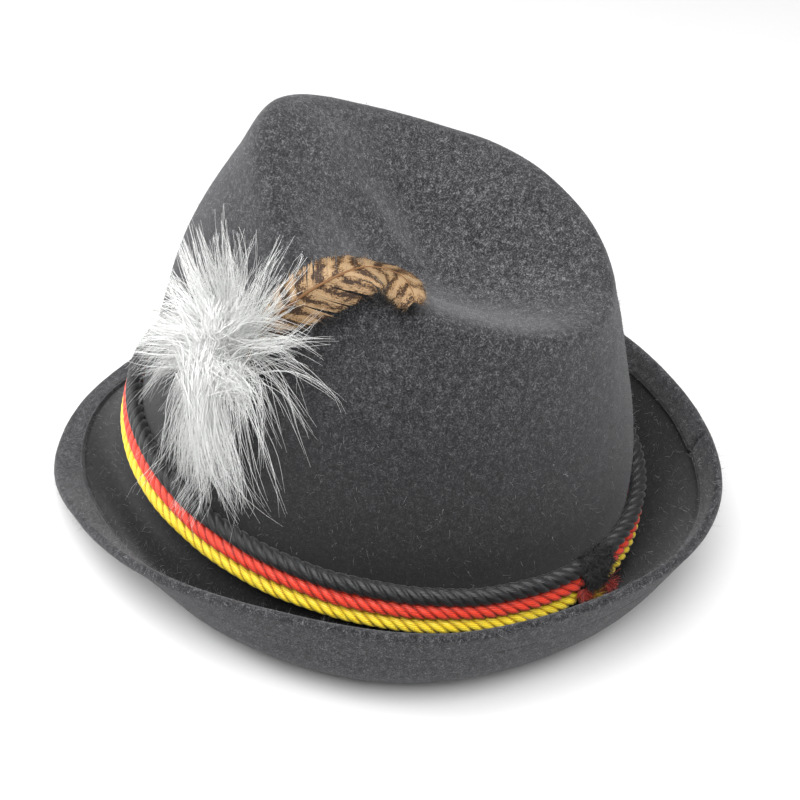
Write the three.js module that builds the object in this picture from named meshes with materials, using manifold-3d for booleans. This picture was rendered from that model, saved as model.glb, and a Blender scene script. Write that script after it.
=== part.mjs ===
import * as THREE from 'three';
import Module from 'manifold-3d';
import { mergeVertices } from 'three/addons/utils/BufferGeometryUtils.js';

// Alpine felt hat, millimetres, +Z up. The wearer looks along -Y and the wearer's left is +X.
// It stands on its brim: the front edge and the bottoms of the two turned-up sides.

// Crown and felt
const headHalfLength = 102;
const headHalfWidth = 84;
const crownHeight = 141;
const feltThickness = 2.2;
const restSink = 0.45;

// Brim
const brimWidth = 50;
const brimBreakRadius = 5;
const hemWidth = 11;
const hemLayer = 1.5;

// Twisted cords round the crown
const cordDiameter = 6.6;
const cordGap = 0.32;
const lowestCordHeight = 7.5;
const whippingAngle = 68;
const whippingLength = 12;
const whippingOverlay = 1.2;

// White plume on the left side
const plumeAngle = -20;
const plumeHeight = 97;
const plumeReach = 62;
const plumeHeadRadius = 12;
const plumeLockRadius = 5.2;
const plumeStandOff = 0.15;

// Barred pheasant feather
const featherLength = 64;
const featherWidth = 21;
const featherThickness = 1.2;
const featherStandOff = 8;
const featherQuillRadius = 1.1;

// How finely the surfaces are divided
const columns = 60;
const cordSteps = 64;
const cordSides = 8;

// Rings of the blocked crown, from the brim break up to the dent. Front, side and back are the
// ring's reach as shares of the base oval, and pinch narrows it toward the front. The three
// heights are shares of the crown height.
const crownRings = [
  { name: 'base', front: 1.0, side: 1.0, back: 1.0, pinch: 0.0, frontZ: 0.0, sideZ: 0.0, backZ: 0.0 },
  { name: 'wall', front: 0.935, side: 0.95, back: 0.955, pinch: 0.06, frontZ: 0.3, sideZ: 0.3, backZ: 0.28 },
  { name: 'high', front: 0.833, side: 0.885, back: 0.83, pinch: 0.17, frontZ: 0.64, sideZ: 0.58, backZ: 0.55 },
  { name: 'shoulder', front: 0.663, side: 0.768, back: 0.749, pinch: 0.22, frontZ: 0.91, sideZ: 0.757, backZ: 0.706 },
  { name: 'rim', front: 0.56, side: 0.663, back: 0.704, pinch: 0.28, frontZ: 1.038, sideZ: 0.876, backZ: 0.77 },
  { name: 'inner', front: 0.4, side: 0.43, back: 0.48, pinch: 0.28, frontZ: 1.0, sideZ: 0.83, backZ: 0.72 },
  { name: 'dish', front: 0.2, side: 0.22, back: 0.26, pinch: 0.18, frontZ: 0.86, sideZ: 0.74, backZ: 0.68 },
];
const dishCentre = { back: 0.07, height: 0.7 };

// Sections of the brim every 45 degrees from the back to the front, the same on both sides.
// Width is a share of the brim width, the slopes are in degrees with up as positive, and the
// curl runs from one slope to the other between two shares of the width.
const brimSections = [
  { name: 'back', width: 0.93, slopeAtCrown: 43, slopeAtEdge: 72, curlFrom: 0.0, curlTo: 0.59 },
  { name: 'back quarter', width: 0.85, slopeAtCrown: 32, slopeAtEdge: 86, curlFrom: 0.09, curlTo: 0.61 },
  { name: 'side', width: 0.955, slopeAtCrown: -50, slopeAtEdge: 84.5, curlFrom: 0.0, curlTo: 0.64 },
  { name: 'front quarter', width: 0.815, slopeAtCrown: -71, slopeAtEdge: 34, curlFrom: 0.27, curlTo: 0.61 },
  { name: 'front', width: 0.96, slopeAtCrown: -50, slopeAtEdge: -22, curlFrom: 0.44, curlTo: 1.0 },
];

// Locks of the plume, fused to its head. Around is the direction in degrees from straight up,
// clockwise seen from outside, length is a share of the plume's reach, lift is how far the tip
// stands off the crown as a share of the length, and sag bends the tip down by such a share.
const plumeLocks = [
  { around: -12, length: 0.84, lift: 0.22, sag: 0.05 },
  { around: 6, length: 0.86, lift: 0.24, sag: 0.05 },
  { around: 26, length: 0.78, lift: 0.5, sag: 0.05 },
  { around: 48, length: 0.72, lift: 0.6, sag: 0.1 },
  { around: 72, length: 0.7, lift: 0.5, sag: 0.2 },
  { around: 96, length: 0.74, lift: 0.34, sag: 0.25 },
  { around: 120, length: 0.84, lift: 0.26, sag: 0.25 },
  { around: 140, length: 1.0, lift: 0.2, sag: 0.2 },
  { around: 156, length: 1.12, lift: 0.16, sag: 0.05 },
  { around: 169, length: 1.2, lift: 0.15, sag: 0.0 },
  { around: 182, length: 1.22, lift: 0.15, sag: 0.0 },
  { around: 195, length: 1.16, lift: 0.17, sag: 0.0 },
  { around: 210, length: 1.04, lift: 0.22, sag: 0.1 },
  { around: 228, length: 0.92, lift: 0.3, sag: 0.15 },
  { around: 250, length: 0.86, lift: 0.42, sag: 0.15 },
  { around: 272, length: 0.88, lift: 0.48, sag: 0.1 },
  { around: 292, length: 0.9, lift: 0.44, sag: 0.05 },
  { around: 312, length: 0.88, lift: 0.36, sag: 0.05 },
  { around: 331, length: 0.86, lift: 0.28, sag: 0.05 },
];

// Line of the pheasant feather, from the quill beside the plume's head, over the shoulder of the
// crown, to the drooping tip. Along is how far round from the plume, as a share of the feather's
// length, rise is how far above the plume's own place up the crown, counted in rings of the
// crown's table, width is a share of the feather's width, and off a share of its stand-off.
const featherLine = [
  { along: 0.04, rise: -0.02, width: 0.1, off: 1.35 },
  { along: 0.025, rise: 0.22, width: 0.4, off: 1.2 },
  { along: 0.06, rise: 0.54, width: 0.72, off: 1.15 },
  { along: 0.12, rise: 0.91, width: 0.9, off: 1.1 },
  { along: 0.23, rise: 1.3, width: 1.0, off: 1.05 },
  { along: 0.37, rise: 1.58, width: 1.0, off: 1.0 },
  { along: 0.54, rise: 1.79, width: 0.92, off: 1.0 },
  { along: 0.67, rise: 1.8, width: 0.76, off: 0.94 },
  { along: 0.765, rise: 1.6, width: 0.5, off: 0.88 },
  { along: 0.79, rise: 1.48, width: 0.2, off: 0.86 },
];

const degrees = Math.PI / 180;
const clamp = THREE.MathUtils.clamp;

const mat = (color, roughness) => new THREE.MeshStandardMaterial({ color, roughness, metalness: 0 });
const materials = {
  felt: mat('#4a4b4f', 0.95),
  blackCord: mat('#17181b', 0.6),
  redCord: mat('#d8402c', 0.5),
  yellowCord: mat('#d9ae1d', 0.5),
  plume: mat('#e9ebee', 0.9),
  feather: mat('#a67c4b', 0.8),
};

// One closed ring of the crown at an angle, 0 on the wearer's left and -90 degrees at the front
function ringPoint(row, angle) {
  const c = Math.cos(angle);
  const s = Math.sin(angle);
  const toFront = Math.max(0, -s);
  const reach = s < 0 ? row.front : row.back;
  const endZ = s < 0 ? row.frontZ : row.backZ;
  return new THREE.Vector3(
    headHalfWidth * row.side * c * (1 - row.pinch * toFront * toFront),
    headHalfLength * reach * s,
    crownHeight * (row.sideZ * c * c + endZ * s * s),
  );
}

// Outward direction of the base oval, flat in plan
function outward(angle) {
  return new THREE.Vector3(Math.cos(angle) / headHalfWidth, Math.sin(angle) / headHalfLength, 0).normalize();
}

// Curve up the crown at an angle, through the rings to the middle of the dent and beyond it
function crownCurve(angle) {
  const knots = crownRings.map((row) => ringPoint(row, angle));
  const below = knots[0].clone().add(new THREE.Vector3(0, 0, -4 * brimBreakRadius));
  const centre = new THREE.Vector3(0, headHalfLength * dishCentre.back, crownHeight * dishCentre.height);
  const beyond = ringPoint(crownRings[crownRings.length - 1], angle + Math.PI);
  return new THREE.CatmullRomCurve3([below, ...knots, centre, beyond], false, 'centripetal');
}

// Point on the crown: 0 is the base, 1 the wall ring, 2 the next, up to the middle of the dent
function crownPoint(curve, ring) {
  return curve.getPoint((ring + 1) / (crownRings.length + 2));
}

// A column of the brim table at an angle, smoothly between the sections
function brimValue(key, angle) {
  const fromBack = Math.abs(THREE.MathUtils.euclideanModulo(angle / degrees - 90 + 180, 360) - 180);
  const last = brimSections.length - 1;
  const place = (fromBack / 180) * last;
  const i = Math.min(Math.floor(place), last - 1);
  const t = place - i;
  const at = (k) => brimSections[k < 0 ? -k : k > last ? 2 * last - k : k][key];
  const [a, b, c, d] = [at(i - 1), at(i), at(i + 1), at(i + 2)];
  return 0.5 * (2 * b + (c - a) * t + (2 * a - 5 * b + 4 * c - d) * t * t + (3 * b - a - 3 * c + d) * t ** 3);
}

// Profile of the brim's upper side at an angle, as a list of reach and height, starting at the
// base of the crown: first round the break, then along the curl to the edge
const breakSteps = 8;
const curlSteps = 50;
function brimProfile(angle) {
  const width = brimWidth * brimValue('width', angle);
  const slopeIn = brimValue('slopeAtCrown', angle) * degrees;
  const slopeOut = brimValue('slopeAtEdge', angle) * degrees;
  const curlFrom = brimValue('curlFrom', angle);
  const curlTo = brimValue('curlTo', angle);
  const points = [new THREE.Vector2(0, 0)];
  const walk = (slope, step) => {
    const end = points[points.length - 1];
    points.push(new THREE.Vector2(end.x + Math.cos(slope) * step, end.y + Math.sin(slope) * step));
  };
  const arc = (Math.PI / 2 + slopeIn) * brimBreakRadius;
  for (let i = 0; i < breakSteps; i++) {
    walk(-Math.PI / 2 + ((Math.PI / 2 + slopeIn) * (i + 0.5)) / breakSteps, arc / breakSteps);
  }
  for (let i = 0; i < curlSteps; i++) {
    const share = clamp(((i + 0.5) / curlSteps - curlFrom) / (curlTo - curlFrom), 0, 1);
    const eased = share * share * (3 - 2 * share);
    walk(slopeIn + (slopeOut - slopeIn) * eased, width / curlSteps);
  }
  return { points, width };
}

// Point on the brim's upper side, at a distance in from the edge or at a share of the break
function brimPoint(profile, angle, place) {
  let at = place.break !== undefined ? place.break * breakSteps : 0;
  if (place.fromEdge !== undefined) {
    at = breakSteps + curlSteps * (1 - place.fromEdge / profile.width);
  }
  if (place.share !== undefined) {
    const innerShare = 1 - (hemWidth + hemLayer) / profile.width;
    at = breakSteps + curlSteps * innerShare * place.share;
  }
  const i = clamp(Math.floor(at), 0, profile.points.length - 2);
  const flat = profile.points[i].clone().lerp(profile.points[i + 1], at - i);
  return ringPoint(crownRings[0], angle)
    .addScaledVector(outward(angle), flat.x)
    .add(new THREE.Vector3(0, 0, flat.y));
}

// Rows of the felt's upper side from the brim's edge to the dent. Lift is how much of the hem's
// layer lies on the row, and under says whether the felt's underside has the row too.
const feltRows = [
  { fromEdge: 0, lift: 1, under: true },
  { fromEdge: hemWidth * 0.5, lift: 1, under: true },
  { fromEdge: hemWidth - hemLayer * 0.3, lift: 1, under: false },
  { fromEdge: hemWidth + hemLayer * 0.3, lift: 0, under: true },
  { share: 0.84, lift: 0, under: true },
  { share: 0.68, lift: 0, under: true },
  { share: 0.54, lift: 0, under: true },
  { share: 0.4, lift: 0, under: true },
  { share: 0.26, lift: 0, under: true },
  { share: 0.12, lift: 0, under: true },
  { break: 1, lift: 0, under: false },
  { break: 0.6, lift: 0, under: true },
  { break: 0.3, lift: 0, under: false },
  { ring: 0, lift: 0, under: true },
  { ring: 0.5, lift: 0, under: false },
  { ring: 1, lift: 0, under: true },
  { ring: 1.5, lift: 0, under: false },
  { ring: 2, lift: 0, under: true },
  { ring: 2.4, lift: 0, under: false },
  { ring: 2.75, lift: 0, under: true },
  { ring: 3, lift: 0, under: false },
  { ring: 3.3, lift: 0, under: true },
  { ring: 3.6, lift: 0, under: true },
  { ring: 3.85, lift: 0, under: false },
  { ring: 4.15, lift: 0, under: true },
  { ring: 4.6, lift: 0, under: false },
  { ring: 5, lift: 0, under: true },
  { ring: 5.5, lift: 0, under: false },
  { ring: 6, lift: 0, under: true },
  { ring: 6.55, lift: 0, under: false },
];

function upperGrid() {
  const grid = feltRows.map(() => []);
  for (let j = 0; j < columns; j++) {
    const angle = (j / columns) * 2 * Math.PI;
    const curve = crownCurve(angle);
    const profile = brimProfile(angle);
    feltRows.forEach((row, i) => {
      grid[i].push(row.ring !== undefined ? crownPoint(curve, row.ring) : brimPoint(profile, angle, row));
    });
  }
  return grid;
}

const grid = upperGrid();
const dishMiddle = crownPoint(crownCurve(0), crownRings.length);
const wrap = (j) => (j + columns) % columns;

// Direction square to the felt's upper side at a grid point, pointing up or out
function gridNormal(i, j) {
  const outer = grid[Math.max(i - 1, 0)][j];
  const inner = i + 1 < grid.length ? grid[i + 1][j] : dishMiddle;
  const along = inner.clone().sub(outer);
  const round = grid[i][wrap(j + 1)].clone().sub(grid[i][wrap(j - 1)]);
  return round.cross(along).normalize();
}

// The tilt at which the front edge and the turned-up sides touch the surface together
function restingTilt() {
  const low = [];
  grid.forEach((row, i) => row.forEach((p, j) => {
    if (feltRows[i].under) {
      low.push(p.clone().addScaledVector(gridNormal(i, j), -feltThickness));
    }
  }));
  const lowest = (tilt, front) => Math.min(...low
    .filter((p) => (p.y < -headHalfLength) === front)
    .map((p) => p.z * Math.cos(tilt) - p.y * Math.sin(tilt)));
  let flat = 0;
  let steep = 20 * degrees;
  for (let i = 0; i < 40; i++) {
    const tilt = (flat + steep) / 2;
    if (lowest(tilt, true) < lowest(tilt, false)) {
      flat = tilt;
    } else {
      steep = tilt;
    }
  }
  return { tilt: flat, drop: lowest(flat, false) + restSink };
}
const rest = restingTilt();

// From the hat's own level frame to the way it stands on its brim
function stand(point) {
  const c = Math.cos(rest.tilt);
  const s = Math.sin(rest.tilt);
  return new THREE.Vector3(point.x, point.y * c + point.z * s, point.z * c - point.y * s - rest.drop);
}

function meshFrom(name, points, faces, material) {
  const geometry = new THREE.BufferGeometry();
  geometry.setAttribute('position', new THREE.Float32BufferAttribute(points.flatMap((p) => [p.x, p.y, p.z]), 3));
  geometry.setIndex(faces.flat());
  geometry.computeVertexNormals();
  const mesh = new THREE.Mesh(geometry, material);
  mesh.name = name;
  return mesh;
}

// Felt body: crown and brim blocked from one piece of felt, with the edge turned up onto the
// upper side as a stitched hem. The underside is pressed flat where it rests.
function feltBody() {
  const points = [];
  const rings = [];
  const addRing = (list) => {
    rings.push(list.map((p) => points.push(stand(p)) - 1));
  };
  const upper = feltRows.map((row, i) => grid[i].map((p, j) => (
    p.clone().addScaledVector(gridNormal(i, j), row.lift * hemLayer))));
  const under = feltRows.map((row, i) => grid[i].map((p, j) => (
    p.clone().addScaledVector(gridNormal(i, j), -feltThickness))));
  const nose = grid[0].map((p, j) => {
    const out = p.clone().sub(grid[1][j]).normalize();
    return p.clone()
      .addScaledVector(gridNormal(0, j), (hemLayer - feltThickness) / 2)
      .addScaledVector(out, (hemLayer + feltThickness) * 0.4);
  });
  addRing(nose);
  upper.forEach(addRing);
  const topMiddle = points.push(stand(dishMiddle)) - 1;
  const turn = rings.length;
  for (let i = feltRows.length - 1; i >= 0; i--) {
    if (feltRows[i].under) {
      addRing(under[i]);
    }
  }
  const underMiddle = points.push(stand(dishMiddle.clone().add(new THREE.Vector3(0, 0, -feltThickness)))) - 1;
  const faces = [];
  const band = (a, b) => {
    for (let j = 0; j < columns; j++) {
      const k = wrap(j + 1);
      faces.push([a[j], a[k], b[k]], [a[j], b[k], b[j]]);
    }
  };
  for (let i = 0; i + 1 < turn; i++) {
    band(rings[i], rings[i + 1]);
  }
  for (let i = turn; i + 1 < rings.length; i++) {
    band(rings[i], rings[i + 1]);
  }
  band(rings[rings.length - 1], rings[0]);
  for (let j = 0; j < columns; j++) {
    const k = wrap(j + 1);
    faces.push([rings[turn - 1][j], rings[turn - 1][k], topMiddle]);
    faces.push([rings[turn][k], rings[turn][j], underMiddle]);
  }
  points.forEach((p) => {
    p.z = Math.max(p.z, 0);
  });
  return meshFrom('felt_body', points, faces, materials.felt);
}

// Point beside the crown at a place counted in rings of its table, a distance off the felt
function besideCrown(angle, ring, off) {
  const curve = crownCurve(angle);
  const step = 0.02;
  const turn = 0.5 * degrees;
  const up = crownPoint(curve, ring + step).sub(crownPoint(curve, Math.max(ring - step, 0)));
  const round = crownPoint(crownCurve(angle + turn), ring).sub(crownPoint(crownCurve(angle - turn), ring));
  const normal = round.cross(up).normalize();
  return { at: crownPoint(curve, ring).addScaledVector(normal, off), normal };
}

// The place up the crown, counted in rings, that has a height over the brim break
function ringAtHeight(angle, height) {
  const curve = crownCurve(angle);
  let low = 0;
  let high = 3;
  for (let i = 0; i < 30; i++) {
    const middle = (low + high) / 2;
    if (crownPoint(curve, middle).z < height) {
      low = middle;
    } else {
      high = middle;
    }
  }
  return low;
}

// Point beside the crown wall: at a height over the brim break and a distance off the felt
function besideWall(angle, height, off) {
  return besideCrown(angle, ringAtHeight(angle, height), off).at;
}

// A cord: a round bundle that runs round the crown from one side of the whipping to the other
function cord(name, order, material) {
  const height = lowestCordHeight + order * (cordDiameter + cordGap);
  const halfGap = (whippingLength / 2 + cordGap) / headHalfWidth;
  const from = whippingAngle * degrees + halfGap;
  const sweep = 2 * Math.PI - 2 * halfGap;
  const path = [];
  for (let i = 0; i <= cordSteps; i++) {
    path.push(stand(besideWall(from + (sweep * i) / cordSteps, height, cordDiameter / 2 + cordGap)));
  }
  const section = new THREE.Shape();
  for (let i = 0; i < cordSides; i++) {
    const a = ((i + 0.5) / cordSides) * 2 * Math.PI;
    const x = (cordDiameter / 2) * Math.cos(a);
    const y = (cordDiameter / 2) * Math.sin(a);
    if (i === 0) {
      section.moveTo(x, y);
    } else {
      section.lineTo(x, y);
    }
  }
  section.closePath();
  const geometry = new THREE.ExtrudeGeometry(section, {
    steps: cordSteps,
    bevelEnabled: false,
    extrudePath: new THREE.CatmullRomCurve3(path),
  });
  const mesh = new THREE.Mesh(geometry, material);
  mesh.name = name;
  return mesh;
}

// Closed tube of sections with their own radii along a line, with a point at each end
function taperedTube(line, sides) {
  const points = [];
  const faces = [];
  const rings = line.slice(1, -1).map((row, i) => {
    const tangent = line[i + 2].at.clone().sub(line[i].at).normalize();
    const side = Math.abs(tangent.z) < 0.9 ? new THREE.Vector3(0, 0, 1) : new THREE.Vector3(1, 0, 0);
    const u = side.cross(tangent).normalize();
    const v = tangent.clone().cross(u);
    return Array.from({ length: sides }, (_, k) => {
      const a = (k / sides) * 2 * Math.PI;
      const p = row.at.clone().addScaledVector(u, row.radius * Math.cos(a));
      return points.push(p.addScaledVector(v, row.radius * Math.sin(a))) - 1;
    });
  });
  const first = points.push(line[0].at.clone()) - 1;
  const last = points.push(line[line.length - 1].at.clone()) - 1;
  const end = rings.length - 1;
  for (let k = 0; k < sides; k++) {
    const n = (k + 1) % sides;
    faces.push([first, rings[0][n], rings[0][k]], [last, rings[end][k], rings[end][n]]);
    for (let i = 0; i < end; i++) {
      faces.push([rings[i][k], rings[i][n], rings[i + 1][n]], [rings[i][k], rings[i + 1][n], rings[i + 1][k]]);
    }
  }
  return { points, faces };
}

const wasm = await Module();
wasm.setup();

function solidOf(points, faces) {
  const flat = new THREE.BufferGeometry();
  flat.setAttribute('position', new THREE.Float32BufferAttribute(points.flatMap((p) => [p.x, p.y, p.z]), 3));
  flat.setIndex(faces.flat());
  const merged = mergeVertices(flat, 1e-4);
  return new wasm.Manifold(new wasm.Mesh({
    numProp: 3,
    vertProperties: new Float32Array(merged.attributes.position.array),
    triVerts: new Uint32Array(merged.index.array),
  }));
}

function meshOf(name, solid, material) {
  const data = solid.getMesh();
  const geometry = new THREE.BufferGeometry();
  geometry.setAttribute('position', new THREE.Float32BufferAttribute(Array.from(data.vertProperties), 3));
  geometry.setIndex(Array.from(data.triVerts));
  const mesh = new THREE.Mesh(geometry, material);
  mesh.name = name;
  return mesh;
}

// Place near the plume, given by how far round and up from its middle and how far off the felt.
// Above the plume's head the place goes straight up, away from the sloping crown.
function besidePlume(round, up, off) {
  const angle = plumeAngle * degrees + round / headHalfWidth;
  const clearOfCords = lowestCordHeight + 3 * (cordDiameter + cordGap);
  const height = plumeHeight + Math.min(up, 0);
  const overCords = clamp((clearOfCords - height) / cordDiameter + 1, 0, 1) * (cordDiameter + 2 * cordGap);
  const rise = Math.max(up, 0) + Math.min(height, 0);
  return besideWall(angle, Math.max(height, 0), off + overCords).add(new THREE.Vector3(0, 0, rise));
}

// Plume: a tuft of white down whose locks spread from one head over the felt and the cords. Room
// is left in it for the quill of the feather behind it.
function plume(room) {
  const headLine = [];
  const headSteps = 6;
  const headUp = 1.5;
  for (let i = 0; i <= headSteps; i++) {
    const turn = (i / headSteps) * Math.PI;
    headLine.push({
      at: stand(besidePlume(0, -Math.cos(turn) * plumeHeadRadius * headUp, plumeStandOff + plumeHeadRadius)),
      radius: plumeHeadRadius * Math.sin(turn),
    });
  }
  const head = taperedTube(headLine, 14);
  let whole = solidOf(head.points, head.faces);
  plumeLocks.forEach((lock) => {
    const length = plumeReach * lock.length;
    const line = [];
    const steps = 6;
    for (let i = 0; i <= steps; i++) {
      const share = i / steps;
      const radius = plumeLockRadius * (1 + 0.5 * share - 1.2 * share * share);
      const round = Math.sin(lock.around * degrees) * length * share;
      const up = Math.cos(lock.around * degrees) * length * share - lock.sag * length * share * share;
      const off = plumeStandOff + radius + plumeHeadRadius * (1 - share) + lock.lift * length * share;
      line.push({ at: stand(besidePlume(round, up, off)), radius });
    }
    const tube = taperedTube(line, 6);
    whole = whole.add(solidOf(tube.points, tube.faces));
  });
  return meshOf('plume', whole.subtract(room), materials.plume);
}

// Pheasant feather: a thin curved vane with a quill ridge down its middle. A grown copy of it
// gives the room that the plume leaves for it.
function pheasantFeather(grow) {
  const foot = ringAtHeight(plumeAngle * degrees, plumeHeight);
  const places = new THREE.CatmullRomCurve3(featherLine.map((row) => (
    new THREE.Vector3(row.along * featherLength, foot + row.rise, row.off * featherStandOff))));
  const widths = new THREE.CatmullRomCurve3(featherLine.map((row, i) => new THREE.Vector3(i, row.width, 0)));
  const middle = (share) => {
    const place = places.getPoint(clamp(share, 0, 1));
    return besideCrown(plumeAngle * degrees + place.x / headHalfWidth, place.y, place.z);
  };
  const steps = 20;
  const points = [];
  const sections = [];
  for (let i = 0; i <= steps; i++) {
    const share = i / steps;
    const { at, normal } = middle(share);
    const before = middle(share - 0.02).at;
    const tangent = middle(share + 0.02).at.sub(before).normalize();
    const across = normal.clone().cross(tangent).normalize();
    const half = (featherWidth / 2) * widths.getPoint(share).y + grow;
    const droop = 0.12 * half;
    const place = (side, lift) => {
      const p = at.clone().addScaledVector(across, side).addScaledVector(normal, lift);
      return stand(p.addScaledVector(tangent, i === 0 ? -grow : i === steps ? grow : 0));
    };
    const section = [
      place(-half, -droop - grow),
      place(0, -grow),
      place(half, -droop - grow),
      place(half, featherThickness - droop + grow),
      place(0, featherThickness + featherQuillRadius + grow),
      place(-half, featherThickness - droop + grow),
    ];
    sections.push(section.map((p) => points.push(p) - 1));
  }
  const faces = [];
  const sides = sections[0].length;
  for (let i = 0; i < steps; i++) {
    for (let k = 0; k < sides; k++) {
      const n = (k + 1) % sides;
      const [a, b] = [sections[i], sections[i + 1]];
      faces.push([a[k], a[n], b[n]], [a[k], b[n], b[k]]);
    }
  }
  for (const [s, flip] of [[sections[0], true], [sections[steps], false]]) {
    for (const tri of [[0, 1, 5], [1, 4, 5], [1, 2, 4], [2, 3, 4]]) {
      const [a, b, c] = tri.map((k) => s[k]);
      faces.push(flip ? [a, c, b] : [a, b, c]);
    }
  }
  return { points, faces };
}

// Whipping of black thread round the place where the cords' ends meet
function whipping() {
  const half = whippingLength / 2;
  const middle = lowestCordHeight + cordDiameter + cordGap;
  const reachUp = 1.5 * cordDiameter + cordGap + whippingOverlay;
  const off = cordDiameter / 2 + cordGap;
  const points = [];
  const sections = [];
  const sides = 14;
  const steps = 4;
  for (let i = 0; i <= steps; i++) {
    const angle = whippingAngle * degrees + (-half + (whippingLength * i) / steps) / headHalfWidth;
    const list = [];
    for (let k = 0; k < sides; k++) {
      const a = (k / sides) * 2 * Math.PI;
      const side = Math.sin(a);
      const up = Math.sign(side) * Math.abs(side) ** 0.8 * reachUp;
      const out = Math.max(Math.cos(a) * (cordDiameter / 2 + whippingOverlay), -cordDiameter / 2);
      list.push(points.push(stand(besideWall(angle, middle + up, off + out))) - 1);
    }
    sections.push(list);
  }
  const faces = [];
  for (let i = 0; i < steps; i++) {
    for (let k = 0; k < sides; k++) {
      const n = (k + 1) % sides;
      const [a, b] = [sections[i], sections[i + 1]];
      faces.push([a[k], b[n], a[n]], [a[k], b[k], b[n]]);
    }
  }
  for (const [s, flip] of [[sections[0], false], [sections[steps], true]]) {
    for (let k = 1; k + 1 < sides; k++) {
      faces.push(flip ? [s[0], s[k + 1], s[k]] : [s[0], s[k], s[k + 1]]);
    }
  }
  return meshFrom('cord_whipping', points, faces, materials.blackCord);
}

const feather = pheasantFeather(0);
const room = pheasantFeather(cordGap * 1.5);
const pieces = [
  feltBody(),
  cord('yellow_cord', 0, materials.yellowCord),
  cord('red_cord', 1, materials.redCord),
  cord('black_cord', 2, materials.blackCord),
  whipping(),
  plume(solidOf(room.points, room.faces)),
  meshFrom('pheasant_feather', feather.points, feather.faces, materials.feather),
];

// The origin is under the middle of the whole hat, on the surface it stands on
const hat = new THREE.Group();
hat.add(...pieces);
const box = new THREE.Box3().setFromObject(hat);
hat.position.set(-(box.min.x + box.max.x) / 2, -(box.min.y + box.max.y) / 2, 0);
hat.updateMatrixWorld(true);

export default hat;
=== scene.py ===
import math

import bpy
import numpy as np
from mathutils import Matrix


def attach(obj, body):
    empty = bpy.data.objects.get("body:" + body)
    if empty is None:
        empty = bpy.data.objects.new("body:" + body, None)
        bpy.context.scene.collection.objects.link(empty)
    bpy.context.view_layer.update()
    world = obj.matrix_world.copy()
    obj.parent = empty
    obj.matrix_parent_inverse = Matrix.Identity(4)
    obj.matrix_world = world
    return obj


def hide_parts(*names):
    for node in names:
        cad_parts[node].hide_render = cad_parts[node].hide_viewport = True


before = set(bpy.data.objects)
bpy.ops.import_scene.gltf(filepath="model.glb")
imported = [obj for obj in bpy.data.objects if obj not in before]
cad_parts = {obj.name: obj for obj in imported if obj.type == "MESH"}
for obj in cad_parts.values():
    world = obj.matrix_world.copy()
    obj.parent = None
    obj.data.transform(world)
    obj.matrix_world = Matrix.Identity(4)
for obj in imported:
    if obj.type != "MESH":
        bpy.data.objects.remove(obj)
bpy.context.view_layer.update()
bpy.ops.object.select_all(action="DESELECT")


# --- Felt body -----------------------------------------------------------------------------------
# Crown and brim are one hood of grey melange wool felt, wetted and pulled over a wooden block.
# The crown is pinched at the front and pressed in on top, the brim is turned up at the sides and
# the back, and its edge is folded onto the upper side as a hem that is sewn round.

head_half_length = 102.0
head_half_width = 84.0
crown_height = 141.0
felt_thickness = 2.2
brim_width = 50.0
brim_break_radius = 5.0
hem_width = 11.0
hem_layer = 1.5
rest_tilt = math.radians(7.005)
rest_drop = -19.521
rest_shift = 3.167
millimetre = 0.001

# Rings up the crown: reach at the front, side and back as shares of the base oval, the pinch
# toward the front, and the height at the front, side and back as shares of the crown's height
crown_rings = (
    (1.0, 1.0, 1.0, 0.0, 0.0, 0.0, 0.0),
    (0.935, 0.95, 0.955, 0.06, 0.3, 0.3, 0.28),
    (0.833, 0.885, 0.83, 0.17, 0.64, 0.58, 0.55),
    (0.663, 0.768, 0.749, 0.22, 0.91, 0.757, 0.706),
    (0.56, 0.663, 0.704, 0.28, 1.038, 0.876, 0.77),
    (0.4, 0.43, 0.48, 0.28, 1.0, 0.83, 0.72),
    (0.2, 0.22, 0.26, 0.18, 0.86, 0.74, 0.68),
)
dent_middle = (0.0, 0.07 * head_half_length, 0.7 * crown_height)

# Sections of the brim every 45 degrees from the back to the front: width as a share, the slopes
# at the crown and at the edge, and where the curl between them starts and ends
brim_sections = np.array((
    (0.93, 43, 72, 0.0, 0.59),
    (0.85, 32, 86, 0.09, 0.61),
    (0.955, -50, 84.5, 0.0, 0.64),
    (0.815, -71, 34, 0.27, 0.61),
    (0.96, -50, -22, 0.44, 1.0),
))


def ring_points(ring, angle):
    """Points of one ring of the crown at angles round it."""
    front, side, back, pinch, front_z, side_z, back_z = ring
    c, s = np.cos(angle), np.sin(angle)
    to_front = np.maximum(0.0, -s)
    x = head_half_width * side * c * (1 - pinch * to_front ** 2)
    y = head_half_length * np.where(s < 0, front, back) * s
    z = crown_height * (side_z * c ** 2 + np.where(s < 0, front_z, back_z) * s ** 2)
    return np.stack([x, y, z], -1)


def unit(v):
    return v / np.maximum(np.linalg.norm(v, axis=-1, keepdims=True), 1e-12)


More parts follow.
